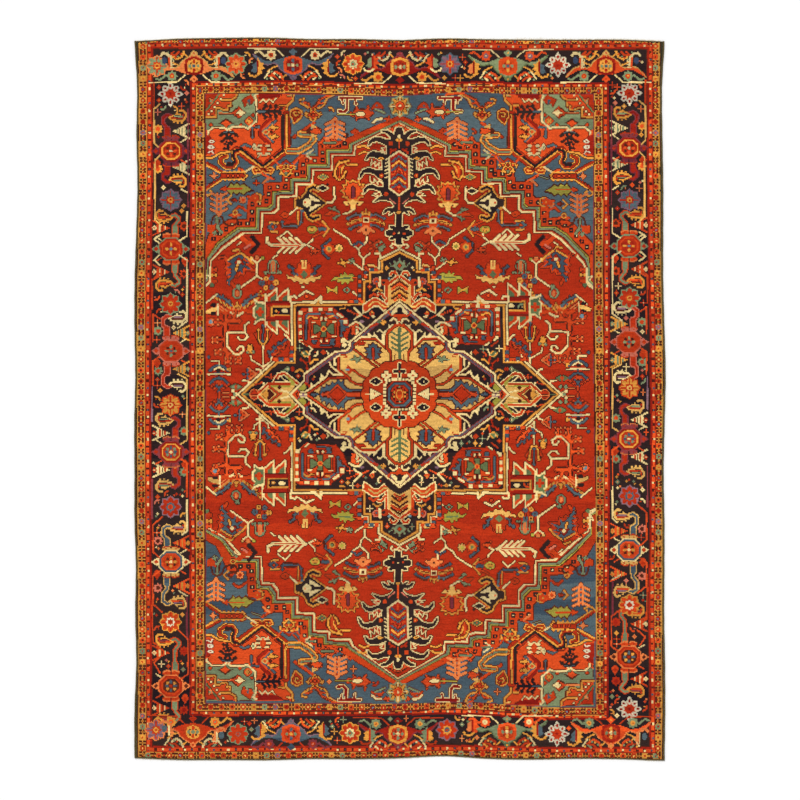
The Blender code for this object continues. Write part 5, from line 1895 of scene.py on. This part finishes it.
# ---------------------------------------------------------------------------------------------------------
# Fringes. The undyed cotton warps go on past the end cords as a very narrow strip of bare cloth, and then
# loose, cut short. They have frayed and worn to uneven lengths.
STRANDS = 660  # at each end, a strand for every four warps
LOCKS = 132  # tapered locks of the CAD fringe
STRAND_WIDTH = 0.0014
STRAND_MIDDLE = 0.0009  # height of a strand's middle where it leaves the strip
STRAND_RINGS = 5
STRIP_WIDTH = 0.0025
STRIP_HEIGHT = 0.0011
STRIP_LIFT = 0.0002  # the bare cloth's lower side above the floor
END_MARGIN = 0.001
SCATTER = 0.0015  # how far a strand stands off its even place
LEAN = 0.0016
WAVE = 0.0005


def fringe(node, way):
    """The loose strands of one end, with where they start; way is 1 at the top and -1 at the bottom. Each
    strand is as long as the CAD lock it stands in, more or less, thins to its tip and leans to one side."""
    low = footprint(node)
    low = low[np.argsort(low[:, 0])]
    places = np.linspace(low[0, 0], low[-1, 0], LOCKS + 1)
    slots = np.clip(np.searchsorted(places, low[:, 0]) - 1, 0, LOCKS - 1)
    inner, outer = (
        np.array([pick(way * low[slots == lock, 1]) for lock in range(LOCKS)]) for pick in (np.min, np.max)
    )
    stations = (places[1:] + places[:-1]) / 2
    x = np.linspace(low[0, 0] + END_MARGIN, low[-1, 0] - END_MARGIN, STRANDS)
    x = x + rng.uniform(-SCATTER, SCATTER, STRANDS)
    start = np.interp(x, stations, inner)
    length = (np.interp(x, stations, outer) - start) * rng.uniform(0.62, 1.04, STRANDS)
    share = np.linspace(0, 1, STRAND_RINGS)
    lean = rng.normal(0, LEAN, STRANDS)[:, None] * share ** 1.5
    wave = rng.uniform(-WAVE, WAVE, STRANDS)[:, None] * np.sin(share * 5)
    thick = STRAND_WIDTH / 2 * rng.uniform(0.7, 1.1, STRANDS)[:, None] * (1.05 - 0.75 * share)
    out = way * (start[:, None] + length[:, None] * share)
    up = np.broadcast_to(STRAND_MIDDLE * (1 - 0.5 * share), out.shape)
    centre = np.stack([x[:, None] + lean + wave, out, up], -1)
    offset = np.array([(1, 0, 0), (0, 0, 1), (-1, 0, 0), (0, 0, -1)])
    radius = np.minimum(thick, STRAND_MIDDLE)[..., None, None]
    return tubes(f"{node}_strands", centre[:, :, None] + offset * radius), x, start


cotton = Finish("undyed_cotton", Roughness=0.95, Specular_IOR_Level=0.1)
place = cotton.add("ShaderNodeTexCoord", {}, {}, 3)
soil = cotton.add("ShaderNodeTexNoise", {}, dict(Vector=place, Scale=45.0, Detail=5.0, Roughness=0.7))
cotton.feed(Base_Color=cotton.add("ShaderNodeMix", dict(data_type="RGBA"),
                                  {0: soil, 6: linear((176, 156, 116)), 7: linear((250, 240, 214))}, 2))
warps = []
for node, way in (("fringe_top", 1), ("fringe_bottom", -1)):
    strands, x, start = fringe(node, way)
    edge = np.stack([x, way * start], 1)[::4]
    frayed = edge + np.array([0, way]) * (STRIP_WIDTH * rng.uniform(0.6, 1.1, len(edge)))[:, None]
    grid = np.stack([edge, frayed])[::way]
    heights = STRIP_HEIGHT + rng.uniform(-STRIP_LIFT, STRIP_LIFT, grid.shape[:2])
    strip = slab(f"{node}_strip", np.concatenate([grid, heights[..., None]], -1), STRIP_LIFT, 1)
    for piece in (strands, strip):
        piece.data.materials.append(cotton.material)
        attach(piece, "root")
        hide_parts(node)
        warps.append(piece)
pile + cords + warps


# ---------------------------------------------------------------------------------------------------------
# The floor, the light and the camera straight above the rug.
CAMERA_HEIGHT = 8.0
FRAME_WIDTH = 4.0
FRAME_MIDDLE = (0.0, -0.005)
FLOOR_REACH = 30.0
FLOOR_DROP = 0.0005  # the floor lies this far under the rug
stage = bpy.data.objects.new("stage", bpy.data.meshes.new("stage"))
floor_corners = [(x * FLOOR_REACH, y * FLOOR_REACH, -FLOOR_DROP)
                 for x, y in ((-1, -1), (1, -1), (1, 1), (-1, 1))]
stage.data.from_pydata(floor_corners, [], [(0, 1, 2, 3)])
bpy.context.scene.collection.objects.link(stage)
floor = Finish("plain_floor", Base_Color=(0.92, 0.92, 0.92, 1), Roughness=1.0)
stage.data.materials.append(floor.material)

world = bpy.data.worlds.new("studio")
world.use_nodes = True
world.node_tree.nodes["Background"].inputs["Color"].default_value = (1, 1, 1, 1)
world.node_tree.nodes["Background"].inputs["Strength"].default_value = 0.66
bpy.context.scene.world = world
sun = bpy.data.objects.new("soft_light", bpy.data.lights.new("soft_light", "SUN"))
sun.data.energy = 1.9
sun.data.angle = math.radians(25)
sun.rotation_euler = (math.radians(-38), math.radians(-22), 0)
bpy.context.scene.collection.objects.link(sun)

camera = bpy.data.objects.new("camera", bpy.data.cameras.new("camera"))
camera.location = (*FRAME_MIDDLE, CAMERA_HEIGHT)
camera.data.lens = camera.data.sensor_width * (CAMERA_HEIGHT - PILE_TOP) / FRAME_WIDTH
camera.data.clip_end = 100
bpy.context.scene.collection.objects.link(camera)
bpy.context.scene.camera = camera
bpy.context.scene.view_settings.view_transform = "Standard"
